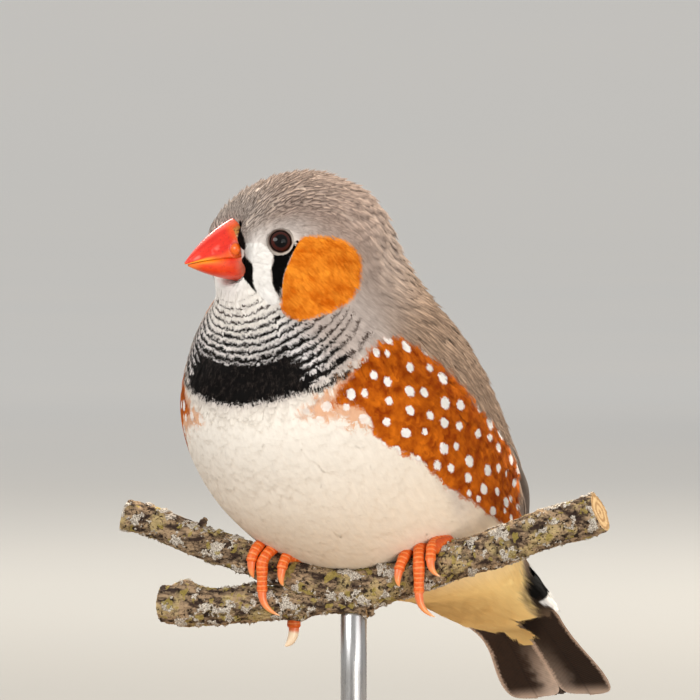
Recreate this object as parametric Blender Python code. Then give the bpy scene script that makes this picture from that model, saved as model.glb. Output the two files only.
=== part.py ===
"""Zebra finch, male, life size, sitting fluffed up on a short cut branch held by a display stand.

Everything is worked out in millimetres in the bird's own terms and written in metres:
x is the bird's left, u is forward, z is up from the perch's lowest point. In the finished
frame the bird faces -Y, its left is +X, and the origin is the centre of the base's underside.
"""
import math

import bpy
from mathutils import Vector

MM = 0.001
GAP = 0.3                 # clearance kept between neighbouring solids

# ---- stand -------------------------------------------------------------------------------
PERCH_LIFT = 35.0         # height of z = 0 over the floor
BASE_U = -4.0             # the base's centre along u
BASE_RADIUS = 43.0
BASE_THICKNESS = 8.0
BASE_BEVEL = 1.2
COLLAR_RADIUS = 5.0
COLLAR_HEIGHT = 3.0
COLLAR_BEVEL = 0.6
ROD_RADIUS = 2.0
ROD_STATION = 4.6         # where along the perch the rod meets it

# ---- perch -------------------------------------------------------------------------------
PERCH_START = -31.8
PERCH_END = 43.6
PERCH_YAW = math.radians(21.0)   # turn of the perch from the bird's cross axis
PERCH_U = 5.0
PERCH_LOW = -1.7
PERCH_RISE = 0.35
PERCH_SAG = 5.0          # how broadly the perch bends
PERCH_BEND = 4.3         # where along it the bend lies
PERCH_SIDES = 12
FORK_START = -26.0
FORK_END = 7.0
FORK_DROP = -4.8          # height of the fork's centre line at its cut end
FOOT_ROOM = 5.0           # how far along the perch the plumage stands off round a foot

# ---- head turn ---------------------------------------------------------------------------
HEAD_TURN = math.radians(27.0)   # to the bird's right
TURN_PIVOT_U = 5.0
TURN_LOW = 30.0
TURN_HIGH = 46.0
TURN_BACK_FALL = 1.3      # how fast the turn fades towards the back
TURN_SIDE_FALL = 0.5      # and towards the shoulders
TURN_SIDE = 10.0

# ---- tail --------------------------------------------------------------------------------
TAIL_ROOT = (-41.2, -3.4)
TAIL_AHEAD = (-0.615, -0.788)    # the tail's direction in u and z
TAIL_SWING = 0.11         # swing of the tail to the bird's left, in radians
TAIL_EASE = 8.0           # length over which the swing sets in

# ---- body sections: back point (u, z), breast point (u, z), half width --------------------
BODY_SECTIONS = (
    ((21.0, 54.0), (19.6, 45.8), 5.0),      # bill base
    ((20.3, 57.1), (21.7, 45.0), 7.5),      # forehead and chin
    ((15.9, 60.5), (21.9, 43.2), 8.7),      # eyes
    ((9.4, 62.3), (22.0, 40.4), 10.1),      # crown
    ((2.6, 61.2), (23.4, 36.6), 12.3),
    ((-3.3, 57.4), (26.7, 32.2), 15.0),     # nape and upper breast
    ((-6.1, 50.7), (28.9, 26.9), 17.6),
    ((-10.4, 43.7), (28.1, 21.0), 20.3),    # shoulders
    ((-16.7, 37.0), (24.3, 14.8), 22.0),
    ((-22.6, 29.4), (18.7, 8.8), 21.7),
    ((-28.1, 21.5), (10.9, 3.7), 20.3),     # belly
    ((-32.9, 14.3), (2.9, 0.1), 18.3),
    ((-36.3, 7.9), (-6.8, -2.8), 15.5),     # rump and vent
    ((-38.7, 2.2), (-15.9, -4.7), 13.2),
    ((-41.3, -2.0), (-25.1, -5.9), 11.0),    # root of the tail
    ((-44.9, -5.6), (-37.0, -9.2), 9.8),
    ((-47.0, -9.0), (-44.7, -10.9), 8.7),
    ((-49.8, -12.9), (-48.4, -14.0), 9.0),
    ((-52.3, -16.4), (-51.3, -17.2), 9.9),
    ((-54.7, -19.7), (-53.9, -20.3), 10.2),
    ((-55.5, -20.8), (-54.9, -21.2), 8.8),  # end of the tail
)
HEAD_END = 4.35           # section where the head meets the neck
NECK_END = 6.1            # where the neck meets the trunk
TRUNK_END = 14.2          # where the trunk meets the tail
TAIL_SQUARE = 5.0         # exponent of the tail's nearly rectangular end section
JOINT_HALF = 0.045        # half the cut between two parts of the body, in sections

# ---- wings: sections on the body between which the wing lies ------------------------------
WING_START = 6.35
WING_END = 14.0
WING_THICK = 1.9
WING_EDGE = 0.6
WING_CLEAR = GAP + 0.08   # between the wing's underside and the body
WING_INNER = math.radians(27.0)       # the wing's upper edge at the wrist, from the back
WING_INNER_FALL = math.radians(18.0)  # how far it closes in on the back towards the tip
WING_OUTER = math.radians(84.0)       # the wing's lower edge at the wrist
WING_OUTER_FALL = math.radians(50.0)

# ---- eyes --------------------------------------------------------------------------------
EYE_U = 17.3
EYE_Z = 51.85
EYE_RADIUS = 2.2
EYE_DEPTH = 1.3           # depth of the eyeball's centre under the cheek

# ---- bill: curves in the head's middle plane, each by start, pull and end (u, z) -----------
BILL_RIDGE = ((21.35, 54.8), (25.6, 52.7), (29.1, 48.4))
BILL_EDGE_UPPER = ((20.95, 49.7), (24.5, 49.3), (29.0, 48.3))
BILL_EDGE_LOWER = ((20.9, 49.35), (24.4, 48.95), (28.5, 48.0))
BILL_KEEL = ((20.35, 45.85), (24.5, 46.3), (28.5, 47.9))
BILL_HALF_UPPER = 4.0     # half width at the base
BILL_HALF_LOWER = 3.8

# ---- feet: place of each hub along the perch, and the toes ----------------------------------
LEFT_HUB = 17.1
RIGHT_HUB = -6.2
TOE_RADIUS = 0.84
TOE_REACH = GAP + 0.06    # between a toe and the bark
HUB_ANGLE = math.radians(118.0)   # where on the perch's far side the front toes start
HIND_ANGLE = math.radians(140.0)
CREST = 0.35              # share of a toe's length before it passes the perch's top
DROP_STEP = 1.2
CLAW_RADIUS = 0.56
CLAW_CURL = -0.7
HIND_CLAW = {"left": 1.8, "right": 2.8}
HIND_CURL = 1.1
HIND_DROP = {"left": 0.8, "right": 8.4}
TARSUS_RADIUS = 1.0
TARSUS_LENGTH = 6.5
TARSUS_LEAN = (0.0, -0.42, 0.91)
TARSUS_ANGLE = math.radians(128.0)

# toe: name, fan at the hub, place past the top, place of the end, drop below the centre,
# claw length, claw's sideways drift
LEFT_TOES = (
    ("inner", -2.05, -3.7, -4.4, -1.0, 2.6, 0.8),
    ("middle", 0.0, -1.5, -1.0, 3.6, 4.6, 2.4),
    ("outer", 2.05, 0.7, 0.9, -1.0, 2.6, 1.4),
)
RIGHT_TOES = (
    ("outer", -2.05, -3.5, -4.8, 0.3, 2.6, 0.8),
    ("middle", 0.0, -1.3, -2.9, 4.4, 4.6, 2.4),
    ("inner", 2.05, 0.9, 0.1, -1.0, 2.8, 0.8),
)


def material(name, colour, roughness, metallic=0.0):
    """A Principled material with one colour."""
    mat = bpy.data.materials.new(name)
    mat.use_nodes = True
    shader = mat.node_tree.nodes["Principled BSDF"]
    shader.inputs["Base Color"].default_value = (*colour, 1.0)
    shader.inputs["Roughness"].default_value = roughness
    shader.inputs["Metallic"].default_value = metallic
    mat.diffuse_color = (*colour, 1.0)
    return mat


def smooth(a):
    a = min(max(a, 0.0), 1.0)
    return a * a * (3.0 - 2.0 * a)


def bump(a, centre, width):
    return math.exp(-((a - centre) / width) ** 2)


def row(x, u, z):
    """From the bird's own terms to the finished frame, in metres."""
    return Vector((x, BASE_U - u, z + PERCH_LIFT)) * MM


def soft(a):
    """A rounded max(a, 0)."""
    return 0.5 * (a + math.sqrt(a * a + 4.0))


def pose(x, u, z):
    """Turn the head about the neck and swing the tail, then go to the finished frame."""
    fade = TURN_BACK_FALL * soft(TURN_PIVOT_U - 1.0 - u) + TURN_SIDE_FALL * soft(abs(x) - TURN_SIDE)
    angle = HEAD_TURN * smooth((z - fade - TURN_LOW) / (TURN_HIGH - TURN_LOW))
    ahead = u - TURN_PIVOT_U
    px = x * math.cos(angle) - ahead * math.sin(angle)
    pu = x * math.sin(angle) + ahead * math.cos(angle) + TURN_PIVOT_U
    run = max((u - TAIL_ROOT[0]) * TAIL_AHEAD[0] + (z - TAIL_ROOT[1]) * TAIL_AHEAD[1], 0.0)
    slip = -x * TAIL_SWING * smooth(run / TAIL_EASE)
    return row(px + TAIL_SWING * run, pu + slip * TAIL_AHEAD[0], z + slip * TAIL_AHEAD[1])


def section(t):
    """Back point, breast point and half width at a place t along the body, as one smooth run."""
    last = len(BODY_SECTIONS) - 1
    t = min(max(t, 0.0), float(last))
    i = min(int(t), last - 1)
    f = t - i

    def numbers(k):
        if k < 0:
            return [2.0 * a - b for a, b in zip(numbers(0), numbers(1))]
        if k > last:
            return [2.0 * a - b for a, b in zip(numbers(last), numbers(last - 1))]
        back, front, half = BODY_SECTIONS[k]
        return [*back, *front, half]

    mixed = []
    for a, b, c, d in zip(numbers(i - 1), numbers(i), numbers(i + 1), numbers(i + 2)):
        slope = c - a
        bend = 2.0 * a - 5.0 * b + 4.0 * c - d
        twist = 3.0 * (b - c) + d - a
        mixed.append(b + 0.5 * f * (slope + f * (bend + f * twist)))
    return mixed


def body_point(t, phi):
    """A point of the plumage: phi is 0 on the back, a quarter turn on the left side."""
    back_u, back_z, front_u, front_z, half = section(t)
    square = 2.0 + (TAIL_SQUARE - 2.0) * smooth((t - 14.5) / 3.0)
    c = math.cos(phi)
    s = math.sin(phi)
    c = math.copysign(abs(c) ** (2.0 / square), c)
    s = math.copysign(abs(s) ** (2.0 / square), s)
    u = 0.5 * (back_u + front_u) + 0.5 * (back_u - front_u) * c
    z = 0.5 * (back_z + front_z) + 0.5 * (back_z - front_z) * c
    return Vector((half * s, u, z))


def body_normal(t, phi):
    step = 0.02
    along = body_point(t + step, phi) - body_point(t - step, phi)
    around = body_point(t, phi + step) - body_point(t, phi - step)
    out = along.cross(around)
    side = body_point(t, phi) - (body_point(t, 0.0) + body_point(t, math.pi)) * 0.5
    out.normalize()
    return out if out.dot(side) > 0.0 else -out


def add_mesh(name, verts, faces, mat, smooth_angle=40.0):
    mesh = bpy.data.meshes.new(name)
    mesh.from_pydata([tuple(v) for v in verts], [], faces)
    mesh.materials.append(mat)
    mesh.shade_smooth()
    mesh.set_sharp_from_angle(angle=math.radians(smooth_angle))
    obj = bpy.data.objects.new(name, mesh)
    bpy.context.scene.collection.objects.link(obj)
    return obj


def outward(verts, faces):
    """The faces with the winding that points out of the closed shape."""
    volume = 0.0
    for face in faces:
        for k in range(1, len(face) - 1):
            a, b, c = verts[face[0]], verts[face[k]], verts[face[k + 1]]
            volume += a.dot(b.cross(c))
    return faces if volume > 0.0 else [tuple(reversed(face)) for face in faces]


def loft(name, rings, mat, inner=(), smooth_angle=40.0):
    """One closed solid through rings of equal count; inner are the caps' own ring scales."""
    count = len(rings[0])
    stack = []
    for end, order in ((rings[0], inner[::-1]), (rings[-1], inner)):
        centre = sum(end, Vector()) / count
        extra = [[centre + (p - centre) * k for p in end] for k in order]
        stack.append((centre, extra))
    full = stack[0][1] + list(rings) + stack[1][1]
    verts = [p for ring in full for p in ring]
    faces = []
    for i in range(len(full) - 1):
        for j in range(count):
            k = (j + 1) % count
            faces.append((i * count + j, i * count + k, (i + 1) * count + k, (i + 1) * count + j))
    for centre, base in ((stack[0][0], 0), (stack[1][0], (len(full) - 1) * count)):
        verts.append(centre)
        hub = len(verts) - 1
        for j in range(count):
            k = (j + 1) % count
            faces.append((base + k, base + j, hub) if base == 0 else (base + j, base + k, hub))
    return add_mesh(name, verts, outward(verts, faces), mat, smooth_angle)


def tube_rings(points, radii, sides):
    """Rings round a run of points that keep one reference side, so that the tube never twists."""
    rings = []
    side = None
    for i, point in enumerate(points):
        ahead = points[min(i + 1, len(points) - 1)] - points[max(i - 1, 0)]
        ahead.normalize()
        if side is None:
            side = Vector((0.0, 0.0, 1.0)).cross(ahead)
            if side.length < 0.2:
                side = Vector((0.0, 1.0, 0.0)).cross(ahead)
        side = (side - ahead * side.dot(ahead)).normalized()
        up = ahead.cross(side)
        ring = []
        for j in range(sides):
            a = 2.0 * math.pi * j / sides
            ring.append(point + (side * math.cos(a) + up * math.sin(a)) * radii[i])
        rings.append(ring)
    return rings


def to_frame(rings):
    return [[row(*p) for p in ring] for ring in rings]


def cut(obj, cutter):
    """Take the cutter away from the solid; the cutter itself isn't part of the model."""
    cutter.hide_render = True
    cutter.display_type = "WIRE"
    modifier = obj.modifiers.new("cut", "BOOLEAN")
    modifier.operation = "DIFFERENCE"
    modifier.solver = "EXACT"
    modifier.object = cutter


def ball(name, centre, radius, mat, segments=16, rings_count=9):
    rings = []
    for i in range(1, rings_count):
        lat = math.pi * i / rings_count
        ring = []
        for j in range(segments):
            a = 2.0 * math.pi * j / segments
            spoke = Vector((math.cos(a), math.sin(a), 0.0)) * math.sin(lat)
            ring.append(centre + (spoke + Vector((0.0, 0.0, math.cos(lat)))) * radius)
        rings.append(ring)
    poles = (centre + Vector((0.0, 0.0, radius)), centre - Vector((0.0, 0.0, radius)))
    verts = [p for ring in rings for p in ring] + list(poles)
    faces = []
    for i in range(len(rings) - 1):
        for j in range(segments):
            k = (j + 1) % segments
            a = i * segments
            faces.append((a + j, a + k, a + segments + k, a + segments + j))
    for j in range(segments):
        k = (j + 1) % segments
        last = (len(rings) - 1) * segments
        faces.append((k, j, len(verts) - 2))
        faces.append((last + j, last + k, len(verts) - 1))
    return add_mesh(name, verts, outward(verts, faces), mat)


# ---- the perch's line, used by the perch, the feet and the rod ------------------------------
def perch_point(s, forward=0.0, up=0.0):
    """A point beside the perch's centre line: s runs along it, forward is across, level."""
    rise = PERCH_LOW + PERCH_RISE * (math.hypot(s - PERCH_BEND, PERCH_SAG) - PERCH_SAG)
    x = s * math.cos(PERCH_YAW) + forward * math.sin(PERCH_YAW)
    u = PERCH_U - s * math.sin(PERCH_YAW) + forward * math.cos(PERCH_YAW)
    return Vector((x, u, rise + up))


def perch_radius(s):
    return 2.59 + 0.010 * s + 0.22 * bump(s, 8.0, 8.0)


def fork_point(s):
    """The fork's centre line: it runs under the perch and joins it just past the rod."""
    point = perch_point(s)
    point.z = FORK_DROP + 0.9 * smooth((s + 17.0) / 17.0) - 0.25 * smooth(s / 6.0)
    return point


def fork_radius(s):
    slim = 0.9 * smooth((s + 11.0) / 11.0) - 0.25 * smooth(s / 6.0)
    return 2.75 - slim + 0.45 * bump(s, -22.0, 2.5)


def spaced(start, end, count):
    return [start + (end - start) * i / (count - 1) for i in range(count)]


def perch_rings(extra, sides, margin=0.0, foot_room=0.0):
    stations = spaced(PERCH_START - margin, PERCH_END + margin, 34)
    points = [perch_point(s) for s in stations]
    radii = []
    for s in stations:
        room = sum(1.9 * bump(s, hub - 1.2, FOOT_ROOM) for hub in (LEFT_HUB, RIGHT_HUB))
        radii.append(perch_radius(s) + extra + foot_room * min(room, 1.0))
    return to_frame(tube_rings(points, radii, sides))


def fork_rings(extra):
    stations = spaced(FORK_START, FORK_END, 14)
    points = [fork_point(s) for s in stations]
    return to_frame(tube_rings(points, [fork_radius(s) + extra for s in stations], PERCH_SIDES))


def toe_line(hub, fan, top, end, drop):
    """Centre line of a front toe: up from the hub, over the perch and down its front."""
    line = []
    for i in range(9):
        f = i / 8.0
        angle = HUB_ANGLE * (1.0 - f)
        if f < CREST:
            s = hub + fan + (top - fan) * smooth(f / CREST)
        else:
            s = hub + top + (end - top) * smooth((f - CREST) / (1.0 - CREST))
        reach = perch_radius(s) + TOE_RADIUS + TOE_REACH
        line.append(perch_point(s, reach * math.cos(angle), reach * math.sin(angle)))
    if drop < 0.0:
        return line[:-1]
    steps = max(int(drop / DROP_STEP), 1)
    reach = perch_radius(hub + end) + TOE_RADIUS + TOE_REACH
    for i in range(1, steps + 1):
        line.append(perch_point(hub + end, reach, -drop * i / steps))
    return line


def hind_line(hub, drop):
    """Centre line of the hind toe: from the hub down the perch's far side."""
    line = []
    reach = perch_radius(hub) + TOE_RADIUS + TOE_REACH
    for i in range(4):
        angle = HIND_ANGLE + (math.pi - HIND_ANGLE) * i / 3.0
        line.append(perch_point(hub, reach * math.cos(angle), reach * math.sin(angle)))
    steps = max(int(drop / DROP_STEP), 2)
    for i in range(1, steps + 1):
        line.append(perch_point(hub, -reach, -drop * i / steps))
    return line


def claw_line(root, ahead, length, drift, curl):
    """A claw's curved centre line, which leaves the toe's end and hooks back to the perch."""
    along = Vector((math.cos(PERCH_YAW), -math.sin(PERCH_YAW), 0.0))
    back = Vector((math.sin(PERCH_YAW), math.cos(PERCH_YAW), 0.0)) * curl
    line = []
    for i in range(6):
        f = i / 5.0
        line.append(root + ahead * length * f + along * drift * f * f + back * f * f)
    return line


def build_toe(side, name, line, claw_length, drift, curl, toe_mat, claw_mat):
    """A scaly toe and, a hair beyond it, its claw."""
    count = len(line)
    radii = []
    for i in range(count):
        f = i / (count - 1.0)
        knuckle = 0.07 * math.cos(f * math.pi * 5.0)
        radii.append(TOE_RADIUS * (1.0 - 0.12 * f) * (1.0 - knuckle) * (0.72 if i == count - 1 else 1.0))
    loft(f"toe_{side}_{name}", to_frame(tube_rings(line, radii, 8)), toe_mat)
    ahead = (line[-1] - line[-2]).normalized()
    root = line[-1] + ahead * GAP
    points = claw_line(root, ahead, claw_length, drift, curl)
    sizes = [CLAW_RADIUS * (1.0 - 0.86 * (i / 5.0) ** 1.6) for i in range(6)]
    loft(f"claw_{side}_{name}", to_frame(tube_rings(points, sizes, 6)), claw_mat)


def bezier(a, b, c, f):
    return tuple(
        p * (1.0 - f) ** 2 + 2.0 * q * f * (1.0 - f) + r * f * f for p, q, r in zip(a, b, c)
    )


def mandible(name, ridge, edge, half_base, upper, mat):
    """Half a bill: the ridge and the cutting edge are curves in the head's middle plane."""
    rings = []
    for i in range(10):
        f = i / 9.0 * 0.985
        ridge_u, ridge_z = bezier(*ridge, f)
        edge_u, edge_z = bezier(*edge, f)
        half = half_base * (1.0 - f) ** 0.78 * (1.0 - 0.10 * f) + 0.12
        ring = []
        for j in range(12):
            a = math.pi * j / 11.0
            lift = math.sin(a) ** (0.8 if upper else 0.7)
            x = half * math.cos(a) * (1.0 - 0.05 * lift)
            ring.append(pose(x, edge_u + (ridge_u - edge_u) * lift, edge_z + (ridge_z - edge_z) * lift))
        for j in range(1, 4):
            x = -half + 2.0 * half * j / 4.0
            ring.append(pose(x, edge_u, edge_z))
        rings.append(ring)
    return loft(name, rings, mat)


def body_part(name, start, end, steps, sides, mat):
    rings = []
    for t in spaced(start, end, steps):
        ring = [body_point(t, 2.0 * math.pi * j / sides) for j in range(sides)]
        rings.append([pose(*p) for p in ring])
    return loft(name, rings, mat, inner=(0.7, 0.35))


def wing_span(t):
    """Angles from the back at which the folded wing starts and ends, at a place on the body."""
    f = (t - WING_START) / (WING_END - WING_START)
    inner = WING_INNER - WING_INNER_FALL * smooth(f * 1.25)
    outer = WING_OUTER - WING_OUTER_FALL * smooth((f - 0.18) / 0.72)
    return inner, outer


def wing(name, side, mat):
    """A folded wing: a thin shaped shell that lies along the body with a hair of clearance."""
    rows, columns = 19, 9
    under, over = [], []
    for i in range(rows):
        f = i / (rows - 1.0)
        t = WING_START + (WING_END - WING_START) * f
        inner, outer = wing_span(t)
        ends = smooth(f / 0.12) * (1.0 - 0.55 * smooth((f - 0.5) / 0.5))
        middle = 0.5 * (inner + outer)
        squeeze = 0.45 + 0.55 * math.sqrt(smooth(f / 0.10))
        low, high = [], []
        for j in range(columns):
            g = j / (columns - 1.0)
            phi = middle + (inner + (outer - inner) * g - middle) * squeeze
            crown = math.sin(math.pi * g) ** 0.6
            thick = WING_EDGE + (WING_THICK - WING_EDGE) * crown * ends
            point = body_point(t, phi)
            normal = body_normal(t, phi)
            a = point + normal * WING_CLEAR
            b = point + normal * (WING_CLEAR + thick)
            low.append(pose(a.x * side, a.y, a.z))
            high.append(pose(b.x * side, b.y, b.z))
        under.append(low)
        over.append(high)
    rings = [low + high[::-1] for low, high in zip(under, over)]
    count = 2 * columns
    verts = [p for ring in rings for p in ring]
    faces = []
    for i in range(rows - 1):
        for j in range(count):
            k = (j + 1) % count
            faces.append((i * count + j, i * count + k, (i + 1) * count + k, (i + 1) * count + j))
    for base in (0, (rows - 1) * count):
        for j in range(columns - 1):
            quad = (base + j, base + j + 1, base + count - 2 - j, base + count - 1 - j)
            faces.append(quad[::-1] if base == 0 else quad)
    return add_mesh(name, verts, outward(verts, faces), mat)


def eye_centre(side):
    """The eyeball's centre: the cheek's own surface point, moved in along its normal."""
    best = None
    for i in range(81):
        t = 0.6 + 3.2 * i / 80.0
        for j in range(61):
            phi = math.pi * (0.2 + 0.6 * j / 60.0)
            p = body_point(t, phi)
            miss = math.hypot(p.y - EYE_U, p.z - EYE_Z)
            if best is None or miss < best[0]:
                best = (miss, t, phi)
    point = body_point(best[1], best[2]) - body_normal(best[1], best[2]) * EYE_DEPTH
    return pose(point.x * side, point.y, point.z)


def disc_rings(centre, profile, sides):
    rings = []
    for radius, height in profile:
        ring = []
        for j in range(sides):
            a = 2.0 * math.pi * j / sides
            ring.append(centre + Vector((radius * math.cos(a), radius * math.sin(a), height)) * MM)
        rings.append(ring)
    return rings


def main():
    for obj in list(bpy.data.objects):
        bpy.data.objects.remove(obj, do_unlink=True)

    grey = material("grey_brown_plumage", (0.36, 0.31, 0.27), 0.85)
    pale = material("cream_plumage", (0.80, 0.74, 0.66), 0.85)
    dark = material("dark_tail_plumage", (0.07, 0.055, 0.05), 0.8)
    wing_mat = material("brown_wing_plumage", (0.30, 0.24, 0.19), 0.8)
    red = material("red_bill", (0.72, 0.07, 0.02), 0.35)
    orange = material("orange_leg_skin", (0.78, 0.23, 0.05), 0.55)
    horn = material("claw_horn", (0.62, 0.36, 0.22), 0.4)
    iris = material("dark_eye", (0.03, 0.008, 0.006), 0.08)
    bark = material("bark", (0.16, 0.12, 0.09), 0.9)
    wood = material("stand_wood", (0.36, 0.23, 0.13), 0.45)
    steel = material("stand_steel", (0.55, 0.55, 0.56), 0.3, 1.0)

    sides = 28
    head = body_part("head", 0.0, HEAD_END - JOINT_HALF, 15, sides, grey)
    body_part("neck", HEAD_END + JOINT_HALF, NECK_END - JOINT_HALF, 7, sides, grey)
    trunk = body_part("trunk", NECK_END + JOINT_HALF, TRUNK_END - JOINT_HALF, 26, sides, pale)
    body_part("tail", TRUNK_END + JOINT_HALF, 20.0, 14, 20, dark)

    for side_name, side in (("left", 1.0), ("right", -1.0)):
        wing(f"wing_{side_name}", side, wing_mat)
        centre = eye_centre(side)
        ball(f"eye_{side_name}", centre, EYE_RADIUS * MM, iris, 14, 8)
        cut(head, ball(f"socket_{side_name}", centre, (EYE_RADIUS + GAP) * MM, iris, 14, 8))

    mandible("bill_upper", BILL_RIDGE, BILL_EDGE_UPPER, BILL_HALF_UPPER, True, red)
    mandible("bill_lower", BILL_KEEL, BILL_EDGE_LOWER, BILL_HALF_LOWER, False, red)

    loft("perch", perch_rings(0.0, PERCH_SIDES), bark, inner=(0.55,))
    groove = loft("perch_room", perch_rings(GAP + 0.15, 14, 6.0, 2.0 * TOE_RADIUS + 0.5), bark)
    cut(trunk, groove)
    fork = loft("perch_fork", fork_rings(0.0), bark, inner=(0.55,))
    cut(fork, loft("fork_room", perch_rings(GAP, PERCH_SIDES), bark))

    for side_name, hub, toes in (("left", LEFT_HUB, LEFT_TOES), ("right", RIGHT_HUB, RIGHT_TOES)):
        for name, fan, top, end, drop, claw, drift in toes:
            line = toe_line(hub, fan, top, end, drop)
            build_toe(side_name, name, line, claw, drift, CLAW_CURL, orange, horn)
        line = hind_line(hub, HIND_DROP[side_name])
        build_toe(side_name, "hind", line, HIND_CLAW[side_name], 0.0, HIND_CURL, orange, horn)
        reach = perch_radius(hub) + 2.0 * TOE_RADIUS + 2.0 * GAP + 0.35
        foot = perch_point(hub, reach * math.cos(TARSUS_ANGLE), reach * math.sin(TARSUS_ANGLE))
        lean = Vector(TARSUS_LEAN)
        points = [foot + lean * (TARSUS_LENGTH * i / 3.0) for i in range(4)]
        radii = [TARSUS_RADIUS * k for k in (1.05, 0.95, 1.0, 1.1)]
        loft(f"tarsus_{side_name}", to_frame(tube_rings(points, radii, 10)), orange)
        points = [foot + lean * k for k in (-4.0, TARSUS_LENGTH + 0.5)]
        pit = tube_rings(points, [TARSUS_RADIUS * 1.1 + GAP] * 2, 10)
        cut(trunk, loft(f"leg_room_{side_name}", to_frame(pit), orange))

    base_centre = Vector((0.0, 0.0, 0.0))
    profile = (
        (BASE_RADIUS - 0.5, 0.0),
        (BASE_RADIUS, 0.5),
        (BASE_RADIUS, BASE_THICKNESS - BASE_BEVEL),
        (BASE_RADIUS - 0.35 * BASE_BEVEL, BASE_THICKNESS - 0.35 * BASE_BEVEL),
        (BASE_RADIUS - BASE_BEVEL, BASE_THICKNESS),
    )
    loft("stand_base", disc_rings(base_centre, profile, 48), wood, smooth_angle=30.0)

    under = perch_point(ROD_STATION)
    rod_centre = row(under.x, under.y, 0.0)
    rod_centre.z = 0.0
    profile = (
        (COLLAR_RADIUS, BASE_THICKNESS + GAP),
        (COLLAR_RADIUS, BASE_THICKNESS + GAP + COLLAR_HEIGHT - COLLAR_BEVEL),
        (COLLAR_RADIUS - COLLAR_BEVEL, BASE_THICKNESS + GAP + COLLAR_HEIGHT),
    )
    loft("stand_collar", disc_rings(rod_centre, profile, 24), steel, smooth_angle=30.0)
    rod_top = PERCH_LIFT + under.z
    profile = ((ROD_RADIUS, BASE_THICKNESS + 2.0 * GAP + COLLAR_HEIGHT), (ROD_RADIUS, rod_top))
    rod = loft("stand_rod", disc_rings(rod_centre, profile, 16), steel, smooth_angle=30.0)
    cut(rod, loft("rod_room", perch_rings(GAP, PERCH_SIDES), bark))
    cut(rod, loft("rod_fork_room", fork_rings(GAP), bark))


main()
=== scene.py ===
"""Looks of the zebra finch on its cut branch: skin, coat of small feathers, wings, tail, bill,
eyes, feet, bark and stand, with floor, lights and camera.

Shapes are worked out in millimetres in the bird's own terms: x to its left, u ahead and z up from
a level PERCH_LIFT above the floor. row() turns these into the frame's metres. On the body, t runs
from the bill's base to the tail's tip, and phi runs round it: 0 on the back, rising to the left.
"""

import math

import bpy
import numpy as np
from mathutils import Matrix, Vector
from mathutils import noise as mnoise


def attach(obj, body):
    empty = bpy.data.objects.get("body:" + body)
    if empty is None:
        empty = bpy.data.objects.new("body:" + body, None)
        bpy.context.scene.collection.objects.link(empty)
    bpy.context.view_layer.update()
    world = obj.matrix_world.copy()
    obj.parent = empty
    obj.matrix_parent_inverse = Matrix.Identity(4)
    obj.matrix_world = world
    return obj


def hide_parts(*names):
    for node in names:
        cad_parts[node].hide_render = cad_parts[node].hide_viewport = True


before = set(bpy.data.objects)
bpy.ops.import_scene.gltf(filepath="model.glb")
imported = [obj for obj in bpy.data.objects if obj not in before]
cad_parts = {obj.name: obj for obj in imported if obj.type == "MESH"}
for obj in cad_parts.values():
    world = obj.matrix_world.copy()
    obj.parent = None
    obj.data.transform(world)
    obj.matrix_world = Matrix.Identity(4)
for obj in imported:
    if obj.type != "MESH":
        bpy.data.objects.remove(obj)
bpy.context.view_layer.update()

MM = 0.001
PERCH_LIFT = 35.0
BASE_U = -4.0

# ---- body sections: back u, back z, breast u, breast z, half width ------------------------
SECTIONS = np.array([
    (21.0, 54.0, 19.6, 45.8, 5.0),
    (20.3, 57.1, 21.7, 45.0, 7.5),
    (15.9, 60.5, 21.9, 43.2, 8.7),
    (9.4, 62.3, 22.0, 40.4, 10.1),
    (2.6, 61.2, 23.4, 36.6, 12.3),
    (-3.3, 57.4, 26.7, 32.2, 15.0),
    (-6.1, 50.7, 28.9, 26.9, 17.6),
    (-10.4, 43.7, 28.1, 21.0, 20.3),
    (-16.7, 37.0, 24.3, 14.8, 22.0),
    (-22.6, 29.4, 18.7, 8.8, 21.7),
    (-28.1, 21.5, 10.9, 3.7, 20.3),
    (-32.9, 14.3, 2.9, 0.1, 18.3),
    (-36.3, 7.9, -6.8, -2.8, 15.5),
    (-38.7, 2.2, -15.9, -4.7, 13.2),
    (-41.3, -2.0, -25.1, -5.9, 11.0),
    (-44.9, -5.6, -37.0, -9.2, 9.8),
    (-47.0, -9.0, -44.7, -10.9, 8.7),
    (-49.8, -12.9, -48.4, -14.0, 9.0),
    (-52.3, -16.4, -51.3, -17.2, 9.9),
    (-54.7, -19.7, -53.9, -20.3, 10.2),
    (-55.5, -20.8, -54.9, -21.2, 8.8),
])
HEAD_TURN = math.radians(27.0)
TURN_PIVOT_U = 5.0
TURN_LOW, TURN_HIGH = 30.0, 46.0
TURN_BACK_FALL, TURN_SIDE_FALL, TURN_SIDE = 1.3, 0.5, 10.0
TAIL_ROOT = (-41.2, -3.4)
TAIL_AHEAD = (-0.615, -0.788)
TAIL_SWING, TAIL_EASE = 0.11, 8.0

PERCH_START, PERCH_END = -31.8, 43.6
PERCH_YAW = math.radians(21.0)
PERCH_U, PERCH_LOW, PERCH_RISE, PERCH_SAG, PERCH_BEND = 5.0, -1.7, 0.35, 5.0, 4.3
FORK_START, FORK_END = -26.0, 7.0
LEFT_HUB, RIGHT_HUB = 17.1, -6.2
TOE_RADIUS = 0.94
EYE_U, EYE_Z, EYE_RADIUS, EYE_DEPTH = 17.3, 51.85, 2.2, 1.3
EYE_GUARD = 2.0  # feathers stop this far from the eye's middle
WING_START, WING_END = 6.35, 14.0  # where along the body the folded wing lies
REACH = 2.5  # distances to the outline of a marking are cut off here
SPOT_PITCH = 3.05
# white bars over the tail's root: middle, outer and inner half width, and the same for their sides
ROOT_BARS = ((107.2, 3.3, 2.7, 32.5, 31.0), (97.0, 1.4, 0.9, 14.0, 12.5))


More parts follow.
